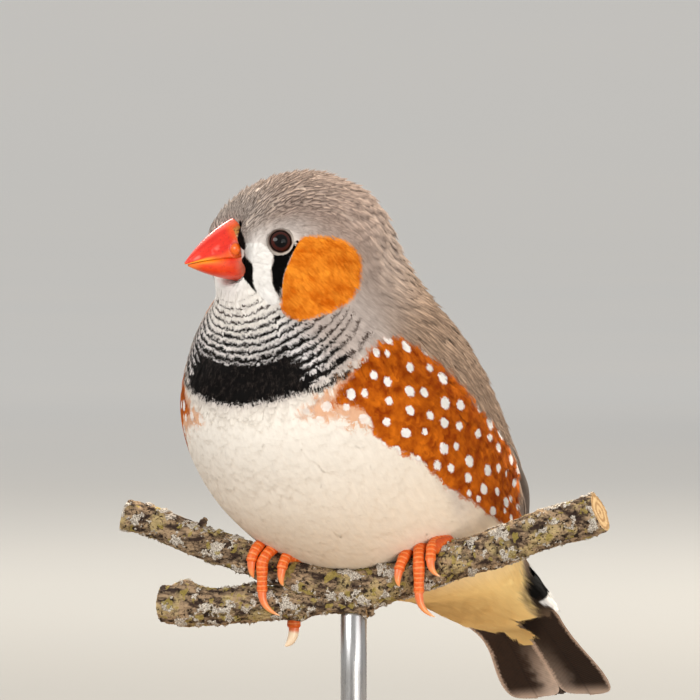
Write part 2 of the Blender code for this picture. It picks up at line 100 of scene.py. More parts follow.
def smooth(a):
    a = np.clip(a, 0.0, 1.0)
    return a * a * (3.0 - 2.0 * a)


def step(a, low, high):
    return smooth((np.asarray(a, float) - low) / (high - low))


def bump(a, centre, width):
    return np.exp(-((a - centre) / width) ** 2)


def soft(a):
    return 0.5 * (a + np.sqrt(a * a + 4.0))


def unit(v, least=0.0):
    """Vectors scaled to length one; least guards those that are nearly nothing."""
    return v / np.maximum(np.linalg.norm(v, axis=-1, keepdims=True), least)


def circle(count):
    return np.linspace(0, 2 * math.pi, count, endpoint=False)


def catmull(a, b, c, d, f):
    """Point at share f of a smooth run from b to c, with a before them and d after."""
    return b + 0.5 * f * ((c - a) + f * ((2 * a - 5 * b + 4 * c - d) + f * (3 * (b - c) + d - a)))


def row(p):
    """Bird's millimetres to the frame's metres."""
    p = np.asarray(p, float)
    return np.stack([p[..., 0], BASE_U - p[..., 1], p[..., 2] + PERCH_LIFT], -1) * MM


def pose(p):
    """Head turn and tail swing, still in the bird's millimetres."""
    x, u, z = p[..., 0], p[..., 1], p[..., 2]
    fade = TURN_BACK_FALL * soft(TURN_PIVOT_U - 1.0 - u) + TURN_SIDE_FALL * soft(np.abs(x) - TURN_SIDE)
    a = HEAD_TURN * step(z - fade, TURN_LOW, TURN_HIGH)
    ahead = u - TURN_PIVOT_U
    px = x * np.cos(a) - ahead * np.sin(a)
    pu = x * np.sin(a) + ahead * np.cos(a) + TURN_PIVOT_U
    run = np.maximum((u - TAIL_ROOT[0]) * TAIL_AHEAD[0] + (z - TAIL_ROOT[1]) * TAIL_AHEAD[1], 0.0)
    slip = -x * TAIL_SWING * smooth(run / TAIL_EASE)
    return np.stack([px + TAIL_SWING * run, pu + slip * TAIL_AHEAD[0], z + slip * TAIL_AHEAD[1]], -1)


def sections(t):
    """The outline's sections at places t, on a smooth run through the given ones."""
    t = np.clip(np.asarray(t, float), 0.0, len(SECTIONS) - 1.0)
    rows = np.vstack([2 * SECTIONS[0] - SECTIONS[1], SECTIONS, 2 * SECTIONS[-1] - SECTIONS[-2]])
    i = np.minimum(t.astype(int), len(SECTIONS) - 2)
    return catmull(rows[i], rows[i + 1], rows[i + 2], rows[i + 3], (t - i)[..., None])


def body(t, phi):
    """Outline of the plumage; phi is 0 on the back and a quarter turn on the left side."""
    r = sections(t)
    square = 2.0 + 3.0 * step(t, 14.5, 17.5)
    c, s = np.cos(phi), np.sin(phi)
    c = np.sign(c) * np.abs(c) ** (2.0 / square)
    s = np.sign(s) * np.abs(s) ** (2.0 / square)
    u = 0.5 * (r[..., 0] + r[..., 2]) + 0.5 * (r[..., 0] - r[..., 2]) * c
    z = 0.5 * (r[..., 1] + r[..., 3]) + 0.5 * (r[..., 1] - r[..., 3]) * c
    return np.stack([r[..., 4] * s, u, z], -1)


def lores(p, t, phi):
    """The feathering at the bill's base reaches forward over its sides."""
    psi = np.degrees(np.abs(phi))
    m = (1 - step(t, 0.1, 1.6)) * step(psi, 26, 54) * (1 - step(psi, 110, 138))
    out = np.array(p, float)
    out[..., 1] += 1.3 * m
    out[..., 0] *= 1 + 0.035 * m
    return out


# ---- a table of the body's surface, read between its points -------------------------------
T_MAX = 16.6
NT, NP = 416, 480


def surface_table():
    """Points, outward normals and millimetres per unit of t and phi, at even steps of both."""
    t, phi = np.meshgrid(np.linspace(0.0, T_MAX, NT), circle(NP) - math.pi, indexing="ij")
    points = body(t, phi)
    along = np.gradient(points, T_MAX / (NT - 1), axis=0)
    around = (np.roll(points, -1, 1) - np.roll(points, 1, 1)) / (2 * 2 * math.pi / NP)
    normal = unit(np.cross(along, around))
    middle = 0.5 * (body(t, 0.0 * phi) + body(t, 0.0 * phi + math.pi))
    normal *= np.sign(np.median(((points - middle) * normal).sum(-1)))
    scales = [np.linalg.norm(d, axis=-1)[..., None] for d in (along, around)]
    return np.concatenate([points, normal, *scales], -1)


TABLE = surface_table()


def look(t, phi):
    """Point, outward normal and millimetres per unit of t and phi."""
    a = np.clip(t / T_MAX * (NT - 1), 0.0, NT - 1.001)
    b = (np.mod(phi + math.pi, 2 * math.pi)) / (2 * math.pi) * NP
    i, j = a.astype(int), b.astype(int)
    fa, fb = (a - i)[..., None], (b - j)[..., None]
    j0, j1 = j % NP, (j + 1) % NP
    v = (TABLE[i, j0] * (1 - fa) + TABLE[i + 1, j0] * fa) * (1 - fb)
    v += (TABLE[i, j1] * (1 - fa) + TABLE[i + 1, j1] * fa) * fb
    n = v[..., 3:6] / np.linalg.norm(v[..., 3:6], axis=-1, keepdims=True)
    return v[..., :3], n, np.maximum(v[..., 6], 1.2), np.maximum(v[..., 7], 1.5)


# ---- perch --------------------------------------------------------------------------------
ALONG = np.array([math.cos(PERCH_YAW), -math.sin(PERCH_YAW), 0.0])
ACROSS = np.array([math.sin(PERCH_YAW), math.cos(PERCH_YAW), 0.0])


def perch_rise(s):
    return PERCH_LOW + PERCH_RISE * (np.hypot(s - PERCH_BEND, PERCH_SAG) - PERCH_SAG)


def perch_line(s):
    """Middle line of the branch, by the place s along it."""
    return np.stack([s * math.cos(PERCH_YAW), PERCH_U - s * math.sin(PERCH_YAW), perch_rise(s)], -1)


def perch_radius(s):
    return 2.59 + 0.010 * s + 0.22 * bump(s, 8.0, 8.0)


def perch_near(p):
    """Place along the perch, and offset across (ahead, up), of points in bird's millimetres."""
    rel = p - np.array([0.0, PERCH_U, 0.0])
    s = rel @ ALONG
    return s, rel @ ACROSS, p[..., 2] - perch_rise(s)


def clear_perch(p, margin):
    """Points that would sink in the perch are moved out to its bark."""
    s, ahead, up = perch_near(p)
    inside = (s > PERCH_START - 1.0) & (s < PERCH_END + 1.0)
    dist = np.hypot(ahead, up)
    want = perch_radius(s) + margin
    push = np.where(inside & (dist < want), want / np.maximum(dist, 0.3), 1.0)
    out = p.copy()
    out += ACROSS * (ahead * (push - 1.0))[..., None]
    out[..., 2] += up * (push - 1.0)
    return out


# ---- markings, in the bird's own side view (u, z) or along the body -----------------------
def srgb(r, g, b):
    c = np.array([r, g, b], float) / 255.0
    return np.where(c <= 0.04045, c / 12.92, ((c + 0.055) / 1.055) ** 2.4)


def closed_curve(points, count=64):
    """A smooth closed line through a few corner points."""
    pts = np.asarray(points, float)
    n = len(pts)
    t = np.linspace(0, n, count, endpoint=False)
    i = t.astype(int)
    return catmull(pts[(i - 1) % n], pts[i % n], pts[(i + 1) % n], pts[(i + 2) % n], (t - i)[:, None])


def signed(points, x, y):
    """Distance to a closed outline in mm, positive inside; far points are only roughly right."""
    poly = closed_curve(points)
    lo, hi = poly.min(0) - REACH, poly.max(0) + REACH
    out = np.full(x.shape, -REACH)
    near = (x > lo[0]) & (x < hi[0]) & (y > lo[1]) & (y < hi[1])
    px, py = x[near], y[near]
    if px.size == 0:
        return out
    best = np.full(px.shape, 1e9)
    odd = np.zeros(px.shape, bool)
    for k in range(len(poly)):
        a, b = poly[k], poly[(k + 1) % len(poly)]
        e = b - a
        h = np.clip(((px - a[0]) * e[0] + (py - a[1]) * e[1]) / max(e @ e, 1e-9), 0, 1)
        best = np.minimum(best, (px - a[0] - e[0] * h) ** 2 + (py - a[1] - e[1] * h) ** 2)
        cross = (a[1] > py) != (b[1] > py)
        if abs(e[1]) > 1e-9:
            odd ^= cross & (px < a[0] + e[0] * (py - a[1]) / e[1])
    d = np.sqrt(best)
    out[near] = np.clip(np.where(odd, d, -d), -REACH, REACH)
    return out


CHEEK = ((-4.1, 52.1), (-1.8, 52.5), (0.8, 52.4), (3.4, 52.0), (5.5, 51.3), (7.2, 50.1), (8.3, 48.8),
         (8.3, 47.2), (7.7, 45.6), (6.1, 44.2), (3.9, 42.9), (1.2, 41.9), (-1.4, 41.2), (-3.6, 40.7),
         (-5.7, 40.3), (-7.9, 40.1), (-9.2, 40.5), (-9.6, 41.4), (-8.6, 42.9), (-7.6, 44.5),
         (-7.0, 46.5), (-6.1, 48.4), (-5.4, 49.8))
TEAR = ((-9.3, 50.2), (-8.0, 50.3), (-6.2, 50.9), (-4.9, 51.9), (-4.2, 52.0), (-5.2, 50.2), (-6.1, 48.7),
        (-6.8, 47.2), (-7.3, 45.6), (-8.1, 43.8), (-8.5, 43.0), (-9.0, 43.9), (-9.7, 45.5), (-9.5, 46.4),
        (-9.8, 47.5), (-9.3, 48.8))
WHITE = ((-14.8, 52.0), (-11.9, 52.2), (-10.3, 51.0), (-9.4, 49.7), (-9.8, 47.4), (-9.6, 45.1),
         (-8.9, 43.2), (-10.0, 42.2), (-11.4, 42.0), (-12.3, 42.5), (-13.3, 43.3), (-13.9, 44.4),
         (-14.3, 45.9), (-14.1, 47.1), (-14.0, 48.6), (-14.7, 49.8), (-15.0, 51.0))
LINE_UP = ((-19.5, 55.0), (-17.4, 54.5), (-15.7, 53.2), (-14.7, 51.8), (-14.6, 50.8), (-15.4, 50.4),
           (-19.0, 50.8))
LINE_LOW = ((-15.6, 49.7), (-14.4, 49.2), (-13.8, 48.1), (-13.9, 46.8), (-14.1, 45.5), (-13.7, 43.9),
            (-14.3, 44.1), (-15.0, 45.0), (-16.0, 45.7), (-17.2, 47.2), (-16.8, 49.1))
FLANK = ((6.10, 97), (6.28, 89), (6.5, 85), (6.8, 83), (7.3, 79), (7.8, 77), (8.35, 75), (8.9, 70),
         (9.35, 65), (9.8, 61), (10.5, 59), (11.1, 61), (11.6, 66), (11.9, 73), (11.2, 84), (10.2, 96),
         (9.45, 105), (8.65, 111), (8.1, 118), (7.6, 123), (7.15, 121), (6.85, 124), (6.62, 133),
         (6.4, 129), (6.22, 121), (6.06, 111))
FADE = ((6.15, 100), (6.12, 118), (6.25, 134), (6.55, 147), (7.0, 134), (7.4, 124), (7.0, 108),
        (6.5, 97))
T_MM, P_MM = 7.2, 0.37  # millimetres per unit of t and per degree on the flank's plane


def flank_plane(t, phi):
    """Millimetre plane of the flank; the right flank's feathers lie a little further forward."""
    deg = np.degrees(np.abs(phi)) - np.where(phi < 0, 15.0, 0.0) * step(t, 5.8, 6.6)
    return t * T_MM, deg * P_MM


def side_curve(points):
    return [(a * T_MM, b * P_MM) for a, b in points]


def throat_place(t, phi):
    """Place along the throat, with the lines of the bars lifted towards the cheeks."""
    lift = np.interp(t, [2.5, 3.8, 4.4, 4.9, 5.2, 5.35, 5.5, 5.8],
                     [1.7, 1.6, 1.15, 0.9, 0.75, 0.5, 0.2, 0.1])
    return t - lift * (1.0 - np.cos(math.pi - np.abs(phi)))


THROAT_T = np.linspace(0, 9, 400)
THROAT_STEPS = np.diff(body(THROAT_T, np.full(400, math.pi)), axis=0)
THROAT_MM = np.concatenate([[0], np.cumsum(np.linalg.norm(THROAT_STEPS, axis=1))])


def bar_phase(k):
    """Number of bars passed at a place along the throat; they widen towards the breast."""
    mm = np.interp(np.clip(k, 0, 9), THROAT_T, THROAT_MM) - np.interp(2.35, THROAT_T, THROAT_MM)
    return mm / (0.98 + 0.022 * mm)


# pure colours of the plumage under even light
C_CROWN = srgb(172, 151, 140)
C_NAPE = srgb(172, 154, 143)
C_SIDE = srgb(194, 181, 174)
C_FACE = srgb(198, 188, 183)
C_CHIN = srgb(250, 245, 239)
C_BREAST = srgb(236, 229, 220)
C_BELLY = srgb(242, 226, 206)
C_VENT = srgb(248, 218, 150)
C_BACK = srgb(166, 140, 120)
C_RUMP = srgb(140, 120, 104)
C_TAILSIDE = srgb(96, 78, 62)
C_FOREHEAD = srgb(196, 181, 172)
C_LORES = srgb(232, 226, 222)
C_UNDER_BILL = srgb(250, 247, 244)
C_THROAT = srgb(236, 231, 231)
C_EYE_RING = srgb(222, 212, 204)
C_BLACK = srgb(6, 5, 5)
C_WHITE = srgb(238, 235, 232)


def vent_edge(t):
    """Where the pale undertail ends on the side, as an angle from the back."""
    return np.interp(t, [11.0, 12.0, 12.5, 13.25, 14.0, 14.5, 15.0, 15.5, 16.2],
                     [66, 70, 73, 80, 92, 106, 116, 124, 134])


def tail_cover(t, psi):
    """The black feathers over the root of the tail."""
    cover = step(t, 12.9, 13.2) * (1 - step(psi, vent_edge(t) - 5, vent_edge(t)))
    return cover * (1 - step(t, 14.5, 15.0) * step(psi, 74, 86))


def mix(a, b, f):
    return a + (b - a) * np.asarray(f)[..., None]


def tone(t, phi, p):
    """Ground colour, and how strongly the feather's own pale edge and dark middle show; near the back's
    midline the pale edge is partly painted rim light.
    """
    psi = np.degrees(np.abs(phi))
    u, z = p[..., 1], p[..., 2]
    base = np.broadcast_to(C_SIDE, p.shape).copy()
    edge = np.full(t.shape, 0.16)
    crown = (1 - step(psi, 62, 92)) * (1 - step(t, 5.2, 6.4))
    base = mix(base, C_CROWN, crown)
    base = mix(base, C_FOREHEAD, (1 - step(t, 1.0, 2.6)) * (1 - step(psi, 70, 90)))
    base = mix(base, C_NAPE, (1 - step(psi, 40, 100)) * step(t, 4.0, 6.0))
    edge += 0.84 * (1 - step(psi, 50, 82)) * (1 - step(t, 2.6, 5.4))
    face = (1 - step(t, 2.6, 4.0)) * step(psi, 60, 84)
    base = mix(base, C_FACE, face)
    edge -= 0.10 * face
    lores_spot = bump(np.abs(p[..., 0]) - u, -12.2, 1.7) * bump(z, 51.6, 1.9) * (1 - step(t, 3.0, 4.0))
    base = mix(base, C_LORES, 0.8 * lores_spot)
    low = step(psi, 116, 138) * (1 - step(t, 5.6, 6.2))
    chin = mix(np.broadcast_to(C_UNDER_BILL, p.shape), C_CHIN, step(t, 1.0, 3.0))
    base = mix(base, mix(chin, C_THROAT, step(t, 3.4, 5.2)), low)
    under = step(t, 5.9, 6.25) * step(psi, 96 + 3 * step(t, 7, 9), 112)
    under = np.maximum(under, step(t, 8.8, 11.0) * step(psi, 74, 92))
    under = np.maximum(under, step(t, 11.2, 12.2) * step(psi, vent_edge(t) - 4, vent_edge(t) + 4))
    under = np.where(t > 12.6, step(psi, vent_edge(t) - 3, vent_edge(t) + 3), under)
    base = mix(base, mix(np.broadcast_to(C_BREAST, p.shape), C_BELLY, step(t, 6.6, 10.6)), under)
    base = mix(base, C_VENT, under * step(t, 10.3, 13.2))
    edge = edge * (1 - under) + 0.04 * under
    back = step(t, 5.7, 6.7) * (1 - step(psi, 84, 100)) * (1 - under)
    base = mix(base, C_BACK, back)
    # back feathers have pale edges; the extra strength within about 40 degrees of the spine is painted rim
    # light along the outline
    edge = edge + (0.62 + 0.30 * (1 - step(psi, 40, 66)) - edge) * back
    rump = step(t, 11.8, 12.6) * (1 - step(psi, 58, 74)) * (1 - under)
    base = mix(base, C_RUMP, rump)
    side = step(t, 12.6, 13.2) * (1 - under)
    base = mix(base, C_TAILSIDE, side)
    edge = edge * (1 - side)
    cover = tail_cover(t, psi)
    base = mix(base, np.broadcast_to(C_BLACK, p.shape), cover)
    eye = np.hypot(u - EYE_U, z - EYE_Z)
    ring = (1 - step(eye, 2.1, 2.8)) * (1 - step(t, 3.4, 3.8))
    behind = step((EYE_U - u) * 0.6 + (EYE_Z - z) * 0.8, -1.2, 1.6)
    base = mix(base, C_EYE_RING, ring * (0.15 + 0.75 * behind))
    return base, np.clip(edge, 0, 1)


def marks(t, phi, p):
    """Signed distances and phases that the plumage material turns into crisp markings."""
    psi = np.degrees(np.abs(phi))
    v, z = np.abs(p[..., 0]) - p[..., 1], p[..., 2]
    head = (t < 6.0) & (psi > 45)
    # the turned head's throat covers the lower front of the right cheek
    far = np.where(p[..., 0] < 0, 0.8 + 0.55 * np.clip(46.5 - z, 0, None), 0.0)
    cheek = np.where(head, signed(CHEEK, v - far, z), -REACH)
    line = np.minimum(signed(LINE_UP, v, z), np.abs(p[..., 0]) - 2.2)
    line = np.where(p[..., 0] < 0, np.minimum(line, 52.2 - z), line)
    line = np.maximum(line, signed(LINE_LOW, v, z))
    tear = np.where(head, signed(TEAR, v, z), -REACH)
    tear = np.maximum(tear, np.where(t < 3.2, line, -REACH))
    white = np.where(head & (t < 5), signed(WHITE, v, z) - 0.7 * step(z, 50.4, 52.2), -REACH)
    k = throat_place(t, phi)
    phase = bar_phase(k)
    side = step(psi, 90, 101)
    duty = np.interp(k, [2.3, 2.6, 3.2, 4.0, 4.6], [0.0, 0.24, 0.32, 0.46, 0.60]) * side
    duty = duty * (1 - 0.52 * (1 - step(psi, 112, 134)))
    solid = step(k, 4.72, 5.0)
    duty = duty + solid * side * (0.06 + 0.85 * step(psi, 134, 152))
    duty = duty * (1 - 0.45 * step(t, 5.2, 5.7) * (1 - step(psi, 100, 122)))
    bottom = 6.0 + 0.26 * step(-psi, -152, -124)
    low = np.clip((bottom - t) * 6.0, -REACH, REACH)
    low = np.minimum(low, np.clip((psi - 91) * 0.16, -REACH, REACH))
    a, b = flank_plane(t, phi)
    flank = signed(side_curve(FLANK), a, b)
    fade = signed(side_curve(FADE), a, b)
    return (np.stack([cheek, tear, white], -1), np.stack([phase, duty, low], -1),
            np.stack([flank, fade, tail_cover(t, psi)], -1), np.stack([a, b], -1))


def coat_depth(t, p):
    """How far the skin lies under the coat's outline."""
    d = np.interp(t, [0, 0.6, 2, 4, 6, 8, 11, 13], [0.14, 0.2, 0.26, 0.28, 0.26, 0.24, 0.26, 0.3])
    eye = np.hypot(p[..., 1] - EYE_U, p[..., 2] - EYE_Z)
    near = (1 - step(eye, 2.0, 4.0)) * (1 - step(t, 3.6, 4.2))
    return d * (1 - near) + 0.24 * near


# ---- meshes from arrays -------------------------------------------------------------------
def make_mesh(name, verts, faces_list, attributes=(), uv=None, normals=None):
    """One object from numpy arrays; faces_list holds integer arrays, one per face size."""
    mesh = bpy.data.meshes.new(name)
    verts = np.asarray(verts, np.float32)
    mesh.vertices.add(len(verts))
    mesh.vertices.foreach_set("co", verts.ravel())
    loops = np.concatenate([f.ravel() for f in faces_list]).astype(np.int32)
    totals = np.concatenate([np.full(len(f), f.shape[1]) for f in faces_list]).astype(np.int32)
    starts = np.concatenate([[0], np.cumsum(totals)[:-1]]).astype(np.int32)
    mesh.loops.add(len(loops))
    mesh.loops.foreach_set("vertex_index", loops)
    mesh.polygons.add(len(totals))
    mesh.polygons.foreach_set("loop_start", starts)
    mesh.polygons.foreach_set("loop_total", totals)
    mesh.polygons.foreach_set("use_smooth", np.ones(len(totals), bool))
    mesh.update(calc_edges=True)
    for label, kind, data in attributes:
        layer = mesh.attributes.new(label, kind, "POINT")
        key = {"FLOAT_VECTOR": "vector", "FLOAT_COLOR": "color", "FLOAT": "value"}[kind]
        layer.data.foreach_set(key, np.asarray(data, np.float32).ravel())
    if uv is not None:
        layer = mesh.uv_layers.new(name="OFBake")
        layer.data.foreach_set("uv", np.asarray(uv, np.float32)[loops].ravel())
    mesh.validate()
    if normals is not None:
        mesh.normals_split_custom_set_from_vertices(normals)
    obj = bpy.data.objects.new(name, mesh)
    bpy.context.scene.collection.objects.link(obj)
    return obj


def grid_faces(rows, cols, wrap=False, offset=0):
    i = np.arange(rows - 1)[:, None]
    j = np.arange(cols if wrap else cols - 1)[None, :]
    k = (j + 1) % cols if wrap else j + 1
    quad = np.stack([i * cols + j, i * cols + k, (i + 1) * cols + k, (i + 1) * cols + j], -1)
    return quad.reshape(-1, 4) + offset


def capped(rows, sides, offset=0):
    """Faces of a tube, and the fans that close it round two points after its last ring."""
    j = np.arange(sides)
    k = (j + 1) % sides
    middle, last = offset + rows * sides, offset + (rows - 1) * sides
    fans = [np.stack([offset + k, offset + j, np.full(sides, middle)], -1),
            np.stack([last + j, last + k, np.full(sides, middle + 1)], -1)]
    return grid_faces(rows, sides, wrap=True, offset=offset), np.concatenate(fans)


# ---- node materials -----------------------------------------------------------------------
class Value:
    """A node's output that can stand in sums and products."""

    def __init__(self, nodes, socket):
        self.nodes = nodes
        self.socket = socket

    def __add__(self, other):
        return self.nodes.math("ADD", self, other)

    def __sub__(self, other):
        return self.nodes.math("SUBTRACT", self, other)

    def __rsub__(self, other):
        return self.nodes.math("SUBTRACT", other, self)

    def __mul__(self, other):
        return self.nodes.math("MULTIPLY", self, other)

    def __abs__(self):
        return self.nodes.math("ABSOLUTE", self)


class Nodes:
    """A short way to write a material's node tree."""

    def __init__(self, name):
        self.mat = bpy.data.materials.new(name)
        self.mat.use_nodes = True
        self.tree = self.mat.node_tree
        self.shader = self.tree.nodes["Principled BSDF"]

    def new(self, kind, **props):
        node = self.tree.nodes.new(kind)
        for key, value in props.items():
            setattr(node, key, value)
        return node

    def put(self, socket, value):
        if isinstance(value, Value):
            self.tree.links.new(value.socket, socket)
        elif np.ndim(value) == 1 and socket.type == "RGBA":
            socket.default_value = (*[float(v) for v in value], 1.0)
        else:
            socket.default_value = value

    def out(self, node, key=0, **inputs):
        """An output of a node, after its named inputs are filled."""
        for name, value in inputs.items():
            self.put(node.inputs[name], value)
        return Value(self, node.outputs[key])

    def fill(self, node, values, key=0):
        """An output of a node, after its first inputs are filled in turn."""
        for k, value in enumerate(values):
            self.put(node.inputs[k], value)
        return Value(self, node.outputs[key])

    def math(self, op, a, b=0.0, clamp=False):
        return self.fill(self.new("ShaderNodeMath", operation=op, use_clamp=clamp), (a, b))

    def most(self, a, b):
        return self.math("MAXIMUM", a, b)

    def clamp(self, value):
        return self.math("ADD", value, 0.0, clamp=True)

    def ramp(self, value, low, high, out_low=0.0, out_high=1.0):
        node = self.new("ShaderNodeMapRange", interpolation_type="SMOOTHSTEP")
        return self.fill(node, (value, low, high, out_low, out_high))

    def mix(self, a, b, f):
        node = self.new("ShaderNodeMix", data_type="RGBA")
        for k, value in ((0, f), (6, a), (7, b)):
            self.put(node.inputs[k], value)
        return Value(self, node.outputs[2])

    def darker(self, col, share, f):
        """The colour, cut to a share of itself where f is 1."""
        return self.mix(col, self.mix(NOTHING, col, share), f)

    def attribute(self, name, key):
        return self.out(self.new("ShaderNodeAttribute", attribute_name=name), key)

    def split(self, vector):
        node = self.new("ShaderNodeSeparateXYZ")
        self.put(node.inputs[0], vector)
        return [self.out(node, k) for k in range(3)]

    def parts(self, name):
        return self.split(self.attribute(name, "Vector"))

    def flat(self, x, y):
        return self.fill(self.new("ShaderNodeCombineXYZ"), (x, y))

    def place(self):
        return self.out(self.new("ShaderNodeTexCoord"), "Object")

    def noise(self, scale, detail=2.0, rough=0.5, vector=None, distortion=0.0):
        return self.out(self.new("ShaderNodeTexNoise"), "Fac", Vector=vector or self.place(), Scale=scale,
                        Detail=detail, Roughness=rough, Distortion=distortion)

    def stretched(self, x, y, z):
        return self.out(self.new("ShaderNodeMapping"), Vector=self.place(), Scale=(x, y, z))

    def bump(self, height, strength, distance):
        node = self.new("ShaderNodeBump")
        normal = self.out(node, Strength=strength, Distance=distance, Height=height)
        self.put(self.shader.inputs["Normal"], normal)

    def set(self, **values):
        for key, value in values.items():
            self.put(self.shader.inputs[key.replace("_", " ")], value)
        return self.mat


NOTHING = (0.0, 0.0, 0.0)


def plumage_material():
    """Ground colour and the feathers' own edges, with every marking laid over them in turn."""
    n = Nodes("plumage")
    col, edge = n.attribute("tone", "Color"), n.attribute("tone", "Alpha")
    cheek, tear, white = n.parts("mark_a")
    phase, duty, hem = n.parts("mark_b")
    chest, fade, cover = n.parts("mark_c")
    along, across, strand = n.parts("barb")
    lengthwise, sideways, own = n.parts("plane")
    fine = n.noise(2600.0, 2.0) - 0.5
    coarse = n.noise(520.0, 2.0) - 0.5
    rand, whole = strand - 0.5, own - 0.5
    across = abs(across)
    # each feather: dark along its middle, pale round its end; near the back's midline this pale end is
    # partly painted rim light
    pale = n.ramp(along, 0.80, 1.0) * 0.45 + n.ramp(across, 0.40, 1.0) * 0.55
    core = n.ramp(across, 0.46, 0.12) * n.ramp(along, 1.0, 0.86)
    col = n.mix(n.darker(col, 0.32, core * edge), srgb(240, 224, 206), pale * edge * 0.58)

    def over(colour, inside, low, high, wobble, scatter):
        return n.mix(col, colour, n.ramp(inside + fine * wobble + rand * scatter, low, high))

    # throat bars and breast band: a wave whose dark share is the duty; each feather bows its own piece
    jag = phase + fine * 0.30 + coarse * 0.40 + rand * 0.50 + whole * 0.42 + across * across * -0.12
    wave = n.math("PINGPONG", jag, 0.5) * 2.0
    broken = duty + coarse * 0.45 + rand * 0.40 + whole * 0.30
    bars = n.ramp(broken - wave, -0.06, 0.12) * n.ramp(duty, 0.02, 0.12)
    bars = bars * n.ramp(hem + fine * 1.6 + rand * 2.2, -0.12, 0.2)
    ink = n.mix(srgb(66, 50, 44), C_BLACK, n.ramp(duty, 0.24, 0.42))
    fringe = n.ramp(along, 0.66, 1.0) * n.ramp(rand, -0.06, 0.14)
    ink = n.mix(ink, srgb(112, 98, 92), fringe * 0.75)
    col = n.mix(col, ink, bars * 0.995)
    # white lores, faded front of the flank, chestnut flank
    col = over(C_WHITE, white, -0.10, 0.25, 0.4, 0.5)
    faded = n.ramp(fade + coarse * 1.2 + whole * 2.2 + rand * 3.4, -0.2, 1.1)
    col = n.mix(col, srgb(214, 148, 96), faded * 0.75)
    chestnut = n.mix(srgb(140, 54, 4), srgb(210, 110, 20), n.clamp(coarse * 2.2 + rand * 1.1 + 0.45))
    flank = n.ramp(chest + coarse * 1.8 + rand * 1.7 + fine * 0.8, -0.25, 0.35)
    col = n.mix(col, chestnut, flank)
    # its white spots, in rows that cross the flank both ways
    turned = 0.7071 / SPOT_PITCH
    down, up = lengthwise * (0.9 * turned), sideways * turned
    cells = n.new("ShaderNodeTexVoronoi", voronoi_dimensions="2D", feature="F1")
    distance = n.out(cells, "Distance", Vector=n.flat(down + up, down - up), Scale=1.0, Randomness=0.50)
    size = n.split(n.out(cells, "Color"))[0] * (0.36 / SPOT_PITCH) + 0.50 / SPOT_PITCH
    spots = n.ramp(size - distance + rand * 0.17 + fine * 0.16, -0.015, 0.045)
    col = n.mix(col, C_WHITE, spots * n.most(flank, faded * 0.8))
    # white bars across the black feathers over the tail's root
    far = rand * 0.6 + lengthwise
    bars = [n.ramp(abs(far - middle), outer, inner) * n.ramp(sideways, side_out, side_in)
            for middle, outer, inner, side_out, side_in in ROOT_BARS]
    col = n.mix(col, C_WHITE, n.most(*bars) * n.ramp(cover, 0.4, 0.6))
    # orange cheek, black tear line and line behind the bill
    orange = n.mix(srgb(200, 94, 4), srgb(240, 150, 44), n.clamp(coarse * 1.9 + rand * 1.3 + 0.5))
    col = over(orange, cheek, -0.30, 0.06, 0.6, 0.8)
    col = over(C_BLACK, tear, -0.08, 0.14, 0.3, 0.45)
    # light and shade of the single strands and of long streaks
    amount = n.ramp(edge, 0.05, 0.15, 0.04, 0.24)
    streak = n.noise(1.0, 3.0, 0.6, n.flat(lengthwise * 0.10, sideways * 1.5)) - 0.5
    col = n.mix(NOTHING, col, rand * amount + streak * 0.16 + 0.96)
    return n.set(Base_Color=col, Roughness=0.85, Sheen_Weight=0.01, Sheen_Roughness=0.5,
                 Specular_IOR_Level=0.05)


def plumage_data(t, phi, p):
    """Tone, three sets of markings and the flank's plane, for points on the plumage."""
    base, edge = tone(t, phi, p)
    return np.concatenate([base, edge[..., None]], -1), *marks(t, phi, p)


def plumage_layers(tones, mark_a, mark_b, mark_c, plane, barb):
    """The attributes that the plumage material reads."""
    vectors = dict(mark_a=mark_a, mark_b=mark_b, mark_c=mark_c, plane=plane, barb=barb)
    return [("tone", "FLOAT_COLOR", tones)] + [(key, "FLOAT_VECTOR", v) for key, v in vectors.items()]


# ---- the coat -----------------------------------------------------------------------------
BLADE_ROWS = (0.0, 0.30, 0.56, 0.78)
BLADE_WIDTH = (0.35, 0.74, 0.80, 0.48)


def feather_template(barbs, pointed, long):
    """Places along (s) and across (w) one small feather, its faces, and the strand of each point."""
    s, w, strand = [], [], []
    for row_s, width in zip(BLADE_ROWS, BLADE_WIDTH):
        for side in (-1.0, 0.0, 1.0):
            s.append(row_s - (0.05 if side else 0.0))
            w.append(side * width)
            strand.append(0)
    tris = []
    for k in range(barbs):
        c = (k + 0.5) / barbs * 2 - 1
        outline = (1 - pointed) * math.sqrt(1 - c * c) + pointed * (1 - abs(c))
        tip_s, tip_w = 0.56 + 0.44 * outline, 1.05 * c
        base_s, base_w = tip_s - long * (0.85 + 0.15 * outline), tip_w * (1 - 0.75 * long)
        half = 1.15 / barbs
        tris.append((len(s), len(s) + 1, len(s) + 2))
        s += [base_s, base_s, tip_s]
        w += [base_w - half, base_w + half, tip_w]
        strand += [k + 1] * 3
    tip = np.zeros(len(s))
    tip[len(BLADE_ROWS) * 3 + 2::3] = 1.0
    return dict(s=np.array(s), w=np.array(w), quads=grid_faces(len(BLADE_ROWS), 3), tris=np.array(tris),
                strand=np.array(strand), tip=tip, barbs=barbs)


TUFT = feather_template(20, 0.75, 0.42)
DOWN = feather_template(28, 0.45, 0.55)
FINE = feather_template(14, 0.3, 0.50)


def wing_share(t):
    """How far along the folded wing a place on the body is, from its wrist to its tip."""
    return (t - WING_START) / (WING_END - WING_START)


def wing_outer(t):
    return np.radians(84.0 - 50.0 * step(wing_share(t), 0.18, 0.90))


def wing_inner(t):
    return np.radians(27.0 - 18.0 * smooth(wing_share(t) * 1.25))


def wing_place(f, g):
    """Place on the body: f from the wing's wrist to its tip, g from the back's side to the flank's."""
    t = WING_START + (WING_END - WING_START) * f
    inner, outer = wing_inner(t), wing_outer(t)
    return t, inner + (outer - inner) * g


